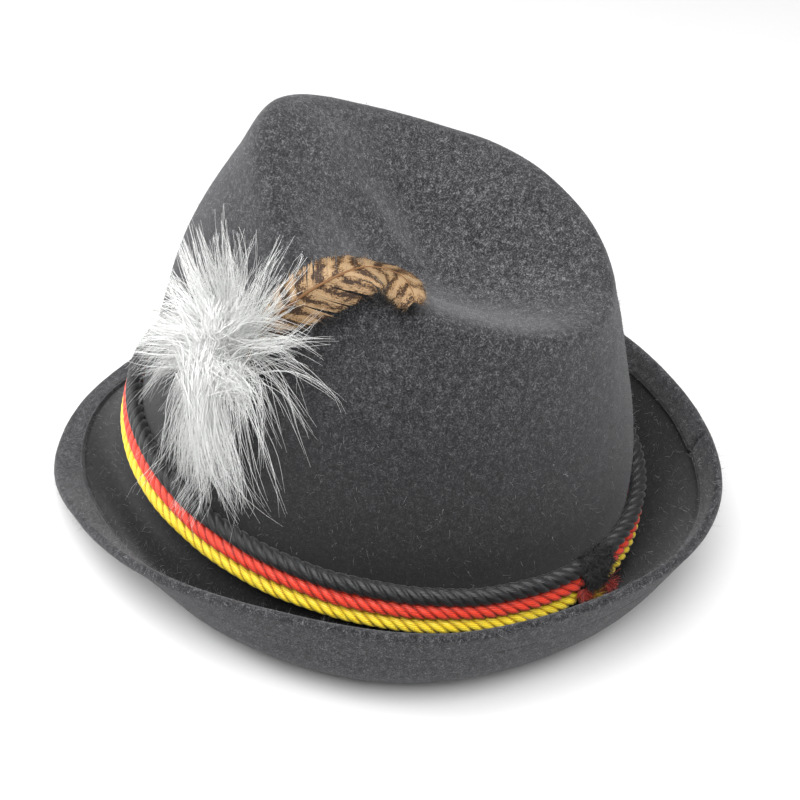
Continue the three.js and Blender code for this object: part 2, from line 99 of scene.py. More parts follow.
def crown_points(angle, ring):
    """Points of the crown's outer face at angles round it and at places counted in rings."""
    angle, ring = np.broadcast_arrays(np.asarray(angle, float), np.asarray(ring, float))
    knots = [ring_points(row, angle) for row in crown_rings]
    knots.insert(0, knots[0] - np.array((0, 0, 4 * brim_break_radius)))
    knots.append(np.broadcast_to(np.array(dent_middle), angle.shape + (3,)))
    knots.append(ring_points(crown_rings[-1], angle + math.pi))
    knots = np.stack(knots)
    first = np.clip(np.floor(ring).astype(int) + 1, 1, len(crown_rings))
    t = (ring + 1 - first)[..., None]
    p = [np.take_along_axis(knots, (first + k)[None, ..., None], axis=0)[0] for k in (-1, 0, 1, 2)]
    d = [np.sqrt(np.linalg.norm(p[k + 1] - p[k], axis=-1, keepdims=True)) for k in range(3)]
    t1 = (p[1] - p[0]) / d[0] - (p[2] - p[0]) / (d[0] + d[1]) + (p[2] - p[1]) / d[1]
    t2 = (p[2] - p[1]) / d[1] - (p[3] - p[1]) / (d[1] + d[2]) + (p[3] - p[2]) / d[2]
    t1, t2 = t1 * d[1], t2 * d[1]
    return (p[1] + t1 * t + (3 * (p[2] - p[1]) - 2 * t1 - t2) * t ** 2
            + (2 * (p[1] - p[2]) + t1 + t2) * t ** 3)


def even_curve(a, b, c, d, t):
    """Between rows b and c of four, at t from 0 to 1, on the smooth curve through them all."""
    return 0.5 * (2 * b + (c - a) * t + (2 * a - 5 * b + 4 * c - d) * t ** 2
                  + (3 * b - a - 3 * c + d) * t ** 3)


def brim_values(angle):
    """The five columns of the brim's table at each angle, smoothly between its sections."""
    from_back = np.abs((np.degrees(angle) - 90 + 180) % 360 - 180)
    last = len(brim_sections) - 1
    place = from_back / 180 * last
    i = np.minimum(np.floor(place).astype(int), last - 1)
    t = (place - i)[..., None]
    mirrored = lambda k: brim_sections[np.where(k < 0, -k, np.where(k > last, 2 * last - k, k))]
    return even_curve(mirrored(i - 1), mirrored(i), mirrored(i + 1), mirrored(i + 2), t).T


break_steps = 8
curl_steps = 50


def brim_lines(angle):
    """Profile of the brim's upper side at each angle: round the break, then along the curl."""
    share, slope_in, slope_out, curl_from, curl_to = brim_values(angle)
    width = brim_width * share
    slope_in, slope_out = np.radians(slope_in), np.radians(slope_out)
    steps = [np.zeros((2,) + angle.shape)]
    turn = math.pi / 2 + slope_in
    for i in range(break_steps):
        slope = -math.pi / 2 + turn * (i + 0.5) / break_steps
        steps.append(np.stack([np.cos(slope), np.sin(slope)]) * turn * brim_break_radius / break_steps)
    for i in range(curl_steps):
        part = np.clip(((i + 0.5) / curl_steps - curl_from) / (curl_to - curl_from), 0, 1)
        slope = slope_in + (slope_out - slope_in) * part ** 2 * (3 - 2 * part)
        steps.append(np.stack([np.cos(slope), np.sin(slope)]) * width / curl_steps)
    return np.cumsum(np.stack(steps), axis=0), width


def brim_points(angle, from_edge=None, share=None, at_break=None):
    """Points of the brim's upper side: in from the edge, a share of the open brim, or the break."""
    lines, width = brim_lines(angle)
    if from_edge is not None:
        at = break_steps + curl_steps * (1 - from_edge / width)
    elif share is not None:
        at = break_steps + curl_steps * (1 - (hem_width + hem_layer) / width) * share
    else:
        at = np.full(angle.shape, at_break * break_steps)
    i = np.clip(np.floor(at).astype(int), 0, len(lines) - 2)
    columns_of = np.arange(len(angle))
    near, far = lines[i, :, columns_of], lines[i + 1, :, columns_of]
    flat = near + (far - near) * (at - i)[:, None]
    out = np.stack([np.cos(angle) / head_half_width, np.sin(angle) / head_half_length, 0 * angle], -1)
    return ring_points(crown_rings[0], angle) + unit(out) * flat[:, :1] + np.array((0, 0, 1)) * flat[:, 1:]


def stand(p):
    """From the hat's own level frame to the way it stands on its brim."""
    c, s = math.cos(rest_tilt), math.sin(rest_tilt)
    x, y, z = p[..., 0], p[..., 1], p[..., 2]
    return np.stack([x, y * c + z * s + rest_shift, z * c - y * s - rest_drop], -1)


def mesh_object(name, points, faces, uv=None):
    """A smooth mesh of millimetre points; faces are index rows, uv is one pair a point."""
    mesh = bpy.data.meshes.new(name)
    rows = [row for block in faces for row in np.asarray(block).tolist()]
    mesh.from_pydata((np.asarray(points) * millimetre).tolist(), [], rows)
    mesh.polygons.foreach_set("use_smooth", [True] * len(mesh.polygons))
    if uv is not None:
        corner = np.empty(len(mesh.loops), dtype=np.int32)
        mesh.loops.foreach_get("vertex_index", corner)
        layer = mesh.uv_layers.new(name="lay")
        layer.data.foreach_set("uv", np.asarray(uv, dtype=np.float32)[corner].ravel())
    made = bpy.data.objects.new(name, mesh)
    bpy.context.scene.collection.objects.link(made)
    return made


def settle(piece, finish, slot, *nodes):
    """The piece gets its material, rides on the hat and may stand for CAD nodes. The slot is not used."""
    piece.data.materials.append(finish)
    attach(piece, "root")
    if nodes:
        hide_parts(*nodes)


# Even columns round the hat, and a few close ones where the hem's ends meet
hem_join = math.radians(109.3)
even_columns = np.linspace(0, 2 * math.pi, 312, endpoint=False)
join_columns = hem_join + np.radians((-1.4, -0.8, -0.4, -0.1, 0.1, 0.4, 0.8, 1.4))
felt_angles = np.sort(np.concatenate([even_columns, join_columns]))

# Rows of the upper side from the brim's edge to the dent. The hem's rows have their distance from
# the edge in mm and the share of the folded layer there, which dips at the stitches.
hem_rows = [(e, 1.0) for e in (0, 0.8, 1.8, 3.2, 4.8, 6.4, 7.8, 8.8)]
hem_rows += [(9.3, 0.86), (9.7, 0.72), (10.1, 0.86), (10.5, 0.95), (10.8, 0.82), (11.0, 0.5),
             (11.15, 0.18), (11.35, 0.0)]
brim_rows = [1 - k / 26 for k in range(27)]
break_rows = [1 - k / 7 for k in range(1, 7)]
crown_rows = [*np.linspace(0, 3, 42), *np.linspace(3.06, 4.8, 30), *np.linspace(4.87, 6.94, 26)]


def felt_rows(angle):
    """The whole upper side, row by row, from the brim's edge to beside the middle of the dent."""
    rows = [brim_points(angle, from_edge=e) for e, layer_share in hem_rows]
    rows += [brim_points(angle, share=k) for k in brim_rows]
    rows += [brim_points(angle, at_break=k) for k in break_rows]
    rows += [crown_points(angle, k) for k in crown_rows]
    return np.stack(rows)


def soft_waves(p, size, seed):
    """A smooth uneven number about 0 at each point, that changes over about this size in mm."""
    draw = np.random.default_rng(seed)
    total = 0
    for k in range(6):
        way = unit(draw.normal(size=3)) * draw.uniform(0.7, 1.5) * 2 * math.pi / size
        total = total + np.sin(p @ way + draw.uniform(0, 6.28))
    return total / 6


def unevenness(p):
    """How far the felt strays from its block at each point, in mm, in long and in short swells."""
    return 0.22 * soft_waves(p, 38, 1) + 0.12 * soft_waves(p, 17, 2)


upper = felt_rows(felt_angles)
dent = np.array(dent_middle)
inner = np.concatenate([upper[1:], np.broadcast_to(dent, (1,) + upper[0].shape)])
outer = np.concatenate([upper[:1], upper[:-1]])
felt_normals = unit(np.cross(np.roll(upper, -1, axis=1) - np.roll(upper, 1, axis=1), inner - outer))
uneven = unevenness(upper)
hem_wave = 0.3 * soft_waves(upper[0], 26, 3)

# At the hem's join one end lies over the other, with a notch between them
lap_height = 0.55
lap_width = math.radians(9)
notch_depth = 1.1
notch_width = math.radians(0.45)
past_join = ((felt_angles - hem_join) / lap_width).clip(-9, 9)
lapped = np.where((past_join > 0) & (past_join < 1), lap_height * (1 - past_join.clip(0, 1)) ** 0.5, 0)
notch = np.exp(-((felt_angles - hem_join) / notch_width) ** 2)
lift = np.zeros(upper.shape[:2])
for i, (e, layer_share) in enumerate(hem_rows):
    lift[i] = layer_share * (hem_layer + lapped - notch_depth * notch)
    lift[i] += hem_wave * 0.25 if layer_share else 0
upper_side = upper + felt_normals * (lift + uneven)[..., None]

# The under side keeps half of the rows and has a shallow groove along the stitches
stitch_row = 9
groove_depth = 0.14
under_kept = [0, 2, 4, 6, 8, 9, 10, 12, 15] + list(range(17, len(upper), 2))
groove_share = np.array([max(0, 1 - abs(i - stitch_row) / 2) for i in under_kept])
under_side = (upper[under_kept] - felt_normals[under_kept]
              * (felt_thickness - groove_depth * groove_share[:, None] - uneven[under_kept])[..., None])

# The rounded edge where the felt is folded over
edge_out = unit(upper[0] - upper[2])
edge_thickness = hem_layer + felt_thickness
edge_middle = (hem_layer - felt_thickness) / 2
edge_steps = 8
nose = []
for k in range(1, edge_steps):
    a = -math.pi / 2 + math.pi * k / edge_steps
    rise = edge_middle + edge_thickness / 2 * math.sin(a) + uneven[0]
    nose.append(upper[0] + felt_normals[0] * rise[:, None]
                + edge_out * 0.4 * edge_thickness * math.cos(a))
rings = np.concatenate([np.stack(nose), upper_side, under_side[::-1]])
turn_at = len(nose) + len(upper_side)
columns = len(felt_angles)
felt_points = stand(np.concatenate([rings.reshape(-1, 3), [dent, dent - (0, 0, felt_thickness)]]))
felt_points[:, 2] = np.maximum(felt_points[:, 2], 0)
j = np.arange(columns)
k = (j + 1) % columns
felt_faces = []
for i in range(len(rings)):
    if i == turn_at - 1:
        continue
    a, b = i * columns, (i + 1) % len(rings) * columns
    felt_faces.append(np.stack([a + j, a + k, b + k, b + j], -1))
upper_end, under_end = (turn_at - 1) * columns, turn_at * columns
upper_middle = 0 * j + len(felt_points) - 2
felt_faces.append(np.stack([upper_end + j, upper_end + k, upper_middle], -1))
felt_faces.append(np.stack([under_end + k, under_end + j, upper_middle + 1], -1))


def rise_over(value, start, span):
    """0 up to the start, 1 past the span after it, and even between them."""
    return min(max((value - start) / span, 0.0), 1.0)


# Painted shade and light by row, which scales the felt's colour: 1 is full painted shade down in the
# gutter, 0 is none on the hem and high on the crown, and less than 0 is painted light in the dent
painted_gutter_shade_and_dent_light = [0.0] * len(nose) + [rise_over(e, 9.0, 2.4) for e, layer_share in hem_rows]
painted_gutter_shade_and_dent_light += [1.0] * (len(brim_rows) + len(break_rows))
painted_gutter_shade_and_dent_light += [1.0 - rise_over(k, 0.6, 2.4) - 0.5 * rise_over(k, 3.9, 1.2) for k in crown_rows]
painted_gutter_shade_and_dent_light = np.concatenate([np.repeat(painted_gutter_shade_and_dent_light + [0.0] * len(under_kept), columns), [0.0, 0.0]])
felt = mesh_object("felt_hat_body", felt_points, felt_faces, np.stack([painted_gutter_shade_and_dent_light, 0 * painted_gutter_shade_and_dent_light], -1))


def linear(hex_colour):
    """An sRGB hex colour as the linear colour that a shader takes."""
    parts = [int(hex_colour[i:i + 2], 16) / 255 for i in (1, 3, 5)]
    return tuple(c / 12.92 if c <= 0.04045 else ((c + 0.055) / 1.055) ** 2.4 for c in parts) + (1.0,)


def add(tree, kind, inputs=None, **settings):
    """Adds a node with its settings; an input is given a value or is linked from a socket."""
    made = tree.nodes.new(kind)
    for name, value in settings.items():
        setattr(made, name, value)
    for name, value in (inputs or {}).items():
        if isinstance(value, bpy.types.NodeSocket):
            tree.links.new(value, made.inputs[name])
        else:
            made.inputs[name].default_value = value
    return made


def start_material(name, finish):
    """A new material, its nodes, and its shader with the inputs that are the same all over."""
    material = bpy.data.materials.new(name)
    material.use_nodes = True
    shader = next(n for n in material.node_tree.nodes if n.type == "BSDF_PRINCIPLED")
    for socket, value in finish.items():
        shader.inputs[socket].default_value = value
    return material, material.node_tree, shader


def ramp_stops(ramp, *stops):
    """Sets a colour ramp's stops, each a place and a hex colour."""
    bar = ramp.color_ramp
    while len(bar.elements) > 1:
        bar.elements.remove(bar.elements[-1])
    bar.elements[0].position, bar.elements[0].color = stops[0][0], linear(stops[0][1])
    for place, colour in stops[1:]:
        bar.elements.new(place).color = linear(colour)


# Melange wool felt: dyed and undyed wool fibres carded together and matted by steam and pressure.
# The eye sees soft grey flecks, half a millimetre to a millimetre across, over a nearly black
# ground, a dry surface without gloss, and a faint bright bloom of raised fibre along every turned
# edge. Shade is painted into the colour low in the gutter, and light is painted into it in the dent.
# A wool fibre of 0.03 mm is too fine to show, so fibres are drawn 0.2 mm wide. Noise scales are in
# cells a millimetre.
felt_finish, tree, shader = start_material("melange wool felt, steamed and blocked", {
    "Roughness": 0.95, "Specular IOR Level": 0.15, "Sheen Weight": 0.24, "Sheen Roughness": 0.6,
    "Sheen Tint": linear("#c9c9cb")})
place = add(tree, "ShaderNodeTexCoord").outputs["Object"]
drift = add(tree, "ShaderNodeTexNoise", {"Vector": place, "Scale": 0.26 / millimetre, "Detail": 2.0})
bent = add(tree, "ShaderNodeVectorMath", {0: drift.outputs["Color"], 1: (2.5 * millimetre,) * 3},
           operation="MULTIPLY")
flow = add(tree, "ShaderNodeVectorMath", {0: place, 1: bent.outputs[0]}, operation="ADD").outputs[0]
fleck = add(tree, "ShaderNodeTexNoise", {
    "Vector": flow, "Scale": 1.6 / millimetre, "Detail": 3.0, "Roughness": 0.65})
fibres = []
for turn, stretch, cells in (((0.5, 0.3, 0.6), (1, 3.2, 1.6), 1.8),
                             ((-0.7, 0.9, -0.4), (3.0, 1, 1.5), 1.95)):
    laid = add(tree, "ShaderNodeMapping", {"Vector": flow, "Rotation": turn, "Scale": stretch})
    fibres.append(add(tree, "ShaderNodeTexNoise", {
        "Vector": laid.outputs[0], "Scale": cells / millimetre, "Detail": 3.0, "Roughness": 0.75}))
crossing = add(tree, "ShaderNodeMath", {0: fibres[0].outputs[0], 1: fibres[1].outputs[0]},
               operation="MAXIMUM")
cloud = add(tree, "ShaderNodeTexNoise", {"Vector": place, "Scale": 0.48 / millimetre, "Detail": 2.0})
melange = add(tree, "ShaderNodeMix", {0: 0.5, 2: fleck.outputs[0], 3: crossing.outputs[0]})
shifted = add(tree, "ShaderNodeMath", {0: cloud.outputs[0], 1: 0.2, 2: -0.1}, operation="MULTIPLY_ADD")
melange = add(tree, "ShaderNodeMath", {0: melange.outputs[0], 1: shifted.outputs[0]}, operation="ADD")
wool = add(tree, "ShaderNodeValToRGB", {0: melange.outputs[0]})
ramp_stops(wool, (0.4, "#0a0a0b"), (0.47, "#1a1a1c"), (0.55, "#343436"), (0.68, "#707072"))
raised = add(tree, "ShaderNodeBump", {
    "Strength": 0.5, "Distance": 0.4 * millimetre, "Height": melange.outputs[0]})
lay = add(tree, "ShaderNodeUVMap", uv_map="lay").outputs[0]
# The map's first number is painted shade in the gutter and, below 0, painted light in the dent; it scales
# the wool's colour
painted_shade = add(tree, "ShaderNodeSeparateXYZ", {0: lay})
painted_light_and_shade_scale = add(tree, "ShaderNodeMath", {0: painted_shade.outputs[0], 1: -0.82, 2: 1.0}, operation="MULTIPLY_ADD")
wool = add(tree, "ShaderNodeVectorMath", {0: wool.outputs[0], 1: painted_light_and_shade_scale.outputs[0]},
           operation="MULTIPLY")
tree.links.new(wool.outputs[0], shader.inputs["Base Color"])
tree.links.new(raised.outputs[0], shader.inputs["Normal"])
settle(felt, felt_finish, "felt", "felt_body")


def tubes(lines, radii, sides, turn=0.0):
    """Many thin closed tubes at once: lines is tube by point by 3, radii is tube by point."""
    count, length = lines.shape[:2]
    ahead = unit(np.gradient(lines, axis=1))
    chord = unit(lines[:, -1] - lines[:, 0])
    reference = np.where(np.abs(chord[:, 2:]) < 0.8, np.array((0, 0, 1.0)), np.array((1.0, 0, 0)))
    u = unit(np.cross(reference[:, None], ahead))
    v = np.cross(ahead, u)
    a = np.arange(sides) / sides * 2 * math.pi + turn
    points = (lines[:, :, None] + u[:, :, None] * (radii[..., None] * np.cos(a))[..., None]
              + v[:, :, None] * (radii[..., None] * np.sin(a))[..., None])
    t, i, s = np.meshgrid(np.arange(count), np.arange(length - 1), np.arange(sides), indexing="ij")
    base = t * length * sides + i * sides
    n = (s + 1) % sides
    quads = np.stack([base + s, base + n, base + sides + n, base + sides + s], -1).reshape(-1, 4)
    start = np.arange(count)[:, None] * length * sides
    caps = [start + np.arange(sides)[::-1], start + (length - 1) * sides + np.arange(sides)]
    return points.reshape(-1, 3), [quads] + caps


def tube_uv(own, along, sides):
    """UV pairs of many tubes: a number of each tube's own, and the place along it."""
    return np.stack(np.meshgrid(own, along, np.arange(sides), indexing="ij")[:2], -1).reshape(-1, 2)


def loose_fibres(draw, root, ahead, shortest, longest, radius, joints):
    """Short bent fibres that stand off their roots, more or less along the way ahead."""
    count = len(root)
    way = unit(draw.normal(size=(count, 3)) + ahead)
    bend = unit(draw.normal(size=(count, 3)) + 0.6 * ahead)
    length = draw.uniform(shortest, longest, count)[:, None, None]
    s = np.linspace(0, 1, joints)[None, :, None]
    path = root[:, None] + way[:, None] * length * s + bend[:, None] * length * 0.45 * s ** 2
    radii = draw.uniform(*radius, count)[:, None] * (1 - 0.7 * s[..., 0])
    points, faces = tubes(path, radii, 3)
    return points, faces, tube_uv(draw.uniform(0, 1, count), s[0, :, 0], 3)


# The fuzz: ends of loose wool fibre, grey and black, that the steaming leaves standing off the
# felt. They catch the light as fine pale lines over the dark parts and soften every edge.
fuzz_fibres = 13500
fuzz_shortest = 0.9
fuzz_longest = 2.6
fuzz_radius = (0.022, 0.04)
table_clearance = 0.05
felt_rings = felt_points[:-2].reshape(len(rings), columns, 3)
ring_run = np.roll(felt_rings, -1, axis=1) - felt_rings
ring_rise = np.roll(felt_rings, -1, axis=0) - felt_rings
off_felt = unit(np.cross(ring_run, ring_rise))
crown_start = turn_at - len(crown_rows)
grey_fuzz, tree, shader = start_material("loose grey and black wool fibre", {"Roughness": 0.9})
lay = add(tree, "ShaderNodeUVMap", uv_map="lay").outputs[0]
parts = add(tree, "ShaderNodeSeparateXYZ", {0: lay})
wool = add(tree, "ShaderNodeValToRGB", {0: parts.outputs[0]})
ramp_stops(wool, (0.2, "#1c1c1e"), (0.7, "#5c5c5e"), (0.95, "#b0b0b2"))
tree.links.new(wool.outputs[0], shader.inputs["Base Color"])
for name, first, last, seed in (("felt_fuzz_crown", crown_start, turn_at - 1, 41),
                                ("felt_fuzz_brim", 0, crown_start, 42)):
    draw = np.random.default_rng(seed)
    run, rise = ring_run[first:last], ring_rise[first:last]
    area = np.linalg.norm(run, axis=-1) * np.linalg.norm(rise, axis=-1)
    chosen = np.searchsorted(np.cumsum(area), draw.uniform(0, area.sum(), fuzz_fibres))
    row, column = np.unravel_index(chosen.clip(0, area.size - 1), area.shape)
    root = felt_rings[first:last][row, column] + run[row, column] * draw.uniform(0, 1, (fuzz_fibres, 1))
    root = root + rise[row, column] * draw.uniform(0, 1, (fuzz_fibres, 1))
    points, faces, uv = loose_fibres(draw, root, 0.9 * off_felt[first:last][row, column],
                                     fuzz_shortest, fuzz_longest, fuzz_radius, 3)
    points[:, 2] = np.maximum(points[:, 2], table_clearance)
    settle(mesh_object(name, points, faces, uv), grey_fuzz, "felt")


# --- Hem stitching -------------------------------------------------------------------------------
# The folded edge is held by one row of machine stitches in dark grey cotton thread, about three
# millimetres long, sunk into the felt on the upper side and again on the outside of the brim.

stitch_length = 3.3
stitch_thread = 0.5
stitch_from_edge, layer_at_stitch = hem_rows[stitch_row]
stitch_proud_above = 0.06
stitch_proud_below = 0.22
bpy.ops.mesh.primitive_uv_sphere_add(segments=8, ring_count=6, radius=0.5)
pattern = bpy.context.object
bpy.ops.object.mode_set(mode="EDIT")
bpy.ops.transform.resize(value=(stitch_length * 0.82, stitch_thread, stitch_thread * 0.7))
bpy.ops.object.mode_set(mode="OBJECT")

# A new sphere's vertices and faces come in another order from run to run, so they are sorted
corners = np.array([v.co[:] for v in pattern.data.vertices])
order = np.lexsort(corners.round(4).T)
stitch_points = corners[order]
stitch_faces = []
for polygon in pattern.data.polygons:
    face = np.argsort(order)[list(polygon.vertices)].tolist()
    lowest = face.index(min(face))
    stitch_faces.append(face[lowest:] + face[:lowest])
stitch_faces.sort()
bpy.data.objects.remove(pattern, do_unlink=True)


def run_of(line):
    """How far along a line each of its points lies."""
    return np.concatenate([[0], np.cumsum(np.linalg.norm(np.diff(line, axis=0), axis=1))])


def read_at(distance, run, table):
    """Points or directions of a line, read at distances along it."""
    return np.stack([np.interp(distance, run, table[:, axis]) for axis in range(3)], -1)


quarter_degrees = np.linspace(0, 2 * math.pi, 1441)
seam = brim_points(quarter_degrees, from_edge=stitch_from_edge)
seam_in = brim_points(quarter_degrees, from_edge=stitch_from_edge + 1)
along = unit(np.gradient(seam, axis=0))
seam_up = unit(np.cross(along, seam_in - seam))
run = run_of(seam)
stitch_count = int(run[-1] / stitch_length)
centres = (np.arange(stitch_count) + 0.5) * run[-1] / stitch_count
on_seam, ahead, up = (read_at(centres, run, table) for table in (seam, along, seam_up))
ahead, up = unit(ahead), unit(up)
side = np.cross(up, ahead)
all_points, all_faces = [], []
for off in (hem_layer * layer_at_stitch + stitch_proud_above, -felt_thickness + stitch_proud_below):
    at = on_seam + up * (off + unevenness(on_seam))[:, None]
    for row in (at[:, None] + ahead[:, None] * stitch_points[None, :, :1]
                + side[:, None] * stitch_points[None, :, 1:2] + up[:, None] * stitch_points[None, :, 2:]):
        base = len(all_points) * len(stitch_points)
        all_points.append(row)
        all_faces += [[[base + v for v in face]] for face in stitch_faces]
stitches = mesh_object("hem_stitching", stand(np.concatenate(all_points)), all_faces)

# Mercerised cotton thread: hard twisted, so a dull shine with plies of about 0.4 mm.
thread_finish, tree, shader = start_material("dark grey cotton thread, twisted", {"Roughness": 0.7})
place = add(tree, "ShaderNodeTexCoord").outputs["Object"]
plies = add(tree, "ShaderNodeTexNoise", {"Vector": place, "Scale": 2.6 / millimetre, "Detail": 1.0})
shade = add(tree, "ShaderNodeValToRGB", {0: plies.outputs[0]})
ramp_stops(shade, (0.35, "#2a2a2c"), (0.7, "#4c4c4f"))
tree.links.new(shade.outputs[0], shader.inputs["Base Color"])
settle(stitches, thread_finish, "felt")


# --- Twisted cords -------------------------------------------------------------------------------
# Three satin cords, each laid up from four strands of rayon yarn with a left-hand twist. They
# lie one above the other round the foot of the crown and are caught down by hidden stitches.

cord_diameter = 6.6
cord_gap = 0.32
lowest_cord_height = 7.5
whipping_angle = math.radians(68)
whipping_length = 12.0
cord_lay_length = 17.6
cord_strands = 4
threads_a_strand = 7
gap_in_whipping = 2.0
strand_reach = 0.47 * cord_diameter / 2
strand_radius = cord_diameter / 2 - strand_reach


def beside_crown(angle, ring, off):
    """Points at a distance off the crown, with the direction square to it."""
    step, turn = 0.02, math.radians(0.5)
    up = crown_points(angle, ring + step) - crown_points(angle, np.maximum(ring - step, 0))
    around = crown_points(angle + turn, ring) - crown_points(angle - turn, ring)
    normal = unit(np.cross(around, up))
    return crown_points(angle, ring) + normal * np.asarray(off)[..., None], normal


def ring_at_height(angle, height):
    """How far up the crown, counted in rings, its wall reaches a height over the brim."""
    angle, height = np.broadcast_arrays(np.asarray(angle, float), np.asarray(height, float))
    low, high = np.zeros(angle.shape), np.full(angle.shape, 3.0)
    for _ in range(24):
        middle = (low + high) / 2
        below = crown_points(angle, middle)[..., 2] < height
        low, high = np.where(below, middle, low), np.where(below, high, middle)
    return low


def beside_wall(angle, height, off):
    """Points beside the crown's wall at a height over the brim and a distance off the felt."""
    return beside_crown(angle, ring_at_height(angle, height), off)


def sweep(path, normals, outline_of, steps_round, uv_of):
    """A closed tube along a path: outline_of gives each section's two offsets for its angles."""
    ahead = unit(np.gradient(path, axis=0))
    across = unit(np.cross(ahead, normals))
    out = np.cross(across, ahead)
    turn = np.arange(steps_round) / steps_round * 2 * math.pi
    x, y = outline_of(turn)
    points = path[:, None] + across[:, None] * x[..., None] + out[:, None] * y[..., None]
    n = len(path)
    i, j = np.meshgrid(np.arange(n - 1), np.arange(steps_round), indexing="ij")
    nxt = (j + 1) % steps_round
    quads = np.stack([i * steps_round + j, i * steps_round + nxt, (i + 1) * steps_round + nxt,
                      (i + 1) * steps_round + j], -1).reshape(-1, 4)
    caps = [np.arange(steps_round)[None, ::-1], (n - 1) * steps_round + np.arange(steps_round)[None]]
    return points.reshape(-1, 3), [quads] + caps, uv_of(turn)


def cord_path(order, steps):
    """A cord's middle line once round the crown, a little uneven, and the directions off the felt."""
    half_gap = gap_in_whipping / head_half_width
    angle = whipping_angle + half_gap + np.linspace(0, 2 * math.pi - 2 * half_gap, steps)
    height = lowest_cord_height + order * (cord_diameter + cord_gap)
    height = height + 0.18 * np.sin(angle * 11 + order * 2.1) + 0.12 * np.sin(angle * 23 + order)
    path, normals = beside_wall(angle, height, cord_diameter / 2 + cord_gap * 0.6 + 0 * angle)
    return stand(path), stand(path + normals) - stand(path)


def twisted_cord(name, order, steps=1000, steps_round=32):
    """One cord as a tube with the outline of its strands, which turns once in each lay length."""
    path, normals = cord_path(order, steps)
    run = run_of(path)
    lay = run / cord_lay_length * 2 * math.pi + 0.35 * np.sin(run / 47 + order * 1.7) + order * 1.3

    def outline_of(turn):
        strand = (turn * cord_strands / (2 * math.pi)) % 1 - 0.5
        from_ridge = strand * 2 * math.pi / cord_strands
        reach = strand_reach * np.cos(from_ridge)
        reach = reach + np.sqrt(strand_radius ** 2 - (strand_reach * np.sin(from_ridge)) ** 2)
        reach = reach * (1 - 0.02 * np.cos(strand * 12 * math.pi))
        a = turn[None] - lay[:, None]
        return reach[None] * np.cos(a), reach[None] * np.sin(a)

    def uv_of(turn):
        v = np.broadcast_to(run[:, None], (len(run), len(turn)))
        u = np.broadcast_to(turn[None] * cord_strands / (2 * math.pi), v.shape)
        return np.stack([u, v], -1).reshape(-1, 2)

    points, faces, uv = sweep(path, normals, outline_of, steps_round, uv_of)
    return mesh_object(name, points, faces, uv)


def rayon(name, painted_shade, body, bright):
    """Rayon yarn, spun and twisted: it has a satin gloss and parallel filaments, and shade is painted
    into the groove between the strands. Filaments are drawn as seven threads a strand, as single ones
    don't show."""
    material, tree, shader = start_material(name, {
        "Roughness": 0.46, "Specular IOR Level": 0.5, "Sheen Weight": 0.15})
    lay = add(tree, "ShaderNodeUVMap", uv_map="lay").outputs[0]
    parts = add(tree, "ShaderNodeSeparateXYZ", {0: lay})
    strand = add(tree, "ShaderNodeMath", {0: parts.outputs[0]}, operation="FRACT")
    from_ridge = add(tree, "ShaderNodeMath", {0: strand.outputs[0], 1: -0.5}, operation="ADD")
    from_ridge = add(tree, "ShaderNodeMath", {0: from_ridge.outputs[0]}, operation="ABSOLUTE")
    slant = add(tree, "ShaderNodeMath", {0: parts.outputs[1], 1: -0.2, 2: parts.outputs[0]},
                operation="MULTIPLY_ADD")
    threads = add(tree, "ShaderNodeMath", {0: slant.outputs[0], 1: 2 * math.pi * threads_a_strand},
                  operation="MULTIPLY")
    threads = add(tree, "ShaderNodeMath", {0: threads.outputs[0]}, operation="SINE")
    along = add(tree, "ShaderNodeCombineXYZ", {0: slant.outputs[0], 1: parts.outputs[1]})
    stretched = add(tree, "ShaderNodeMapping", {"Vector": along.outputs[0], "Scale": (26, 0.25, 1)})
    filaments = add(tree, "ShaderNodeTexNoise", {
        "Vector": stretched.outputs[0], "Scale": 1.0, "Detail": 3.0})
    tone = add(tree, "ShaderNodeMath", {0: threads.outputs[0], 1: 0.12, 2: filaments.outputs[0]},
               operation="MULTIPLY_ADD")
    # Painted shade: the tone, and so the colour, is darkened toward the groove between the strands
    painted_groove_shade = add(tree, "ShaderNodeMapRange", {
        "Value": from_ridge.outputs[0], "From Min": 0.3, "From Max": 0.5, "To Min": 0.0, "To Max": -0.35})
    tone = add(tree, "ShaderNodeMath", {0: tone.outputs[0], 1: painted_groove_shade.outputs[0]}, operation="ADD")
    colour = add(tree, "ShaderNodeValToRGB", {0: tone.outputs[0]})
    # The first stop is the painted shade colour, reached in the groove between the strands
    ramp_stops(colour, (0.12, painted_shade), (0.45, body), (0.75, bright))
    bump = add(tree, "ShaderNodeBump", {
        "Strength": 0.55, "Distance": 0.3 * millimetre, "Height": tone.outputs[0]})
    tree.links.new(colour.outputs[0], shader.inputs["Base Color"])
    tree.links.new(bump.outputs[0], shader.inputs["Normal"])
    return material


# The first colour of each rayon is painted shade for the grooves between the strands
yellow_rayon = rayon("golden yellow rayon yarn, twisted", "#9c7408", "#f4d012", "#fff45a")
red_rayon = rayon("signal red rayon yarn, twisted", "#7e1008", "#e4341c", "#fa5c40")
black_rayon = rayon("black rayon yarn, twisted", "#050506", "#0c0c0e", "#1c1d20")
settle(twisted_cord("yellow_twisted_cord", 0), yellow_rayon, "yellow_cord", "yellow_cord")
settle(twisted_cord("red_twisted_cord", 1), red_rayon, "red_cord", "red_cord")
settle(twisted_cord("black_twisted_cord", 2), black_rayon, "black_cord", "black_cord")


# --- Whipping and frayed ends --------------------------------------------------------------------
# Where the cords' ends meet, black thread is wound round all three and knotted. The winding is
# hidden under fluffed black yarn ends, and short frayed ends of the red and the yellow cord stand
# out below it.

whipping_overlay = 1.2
whipping_thread = 0.42
whipping_turns = 13
steps_a_turn = 44
plies_wound = 600
bundle_steps = 28
bundle_sections = 7


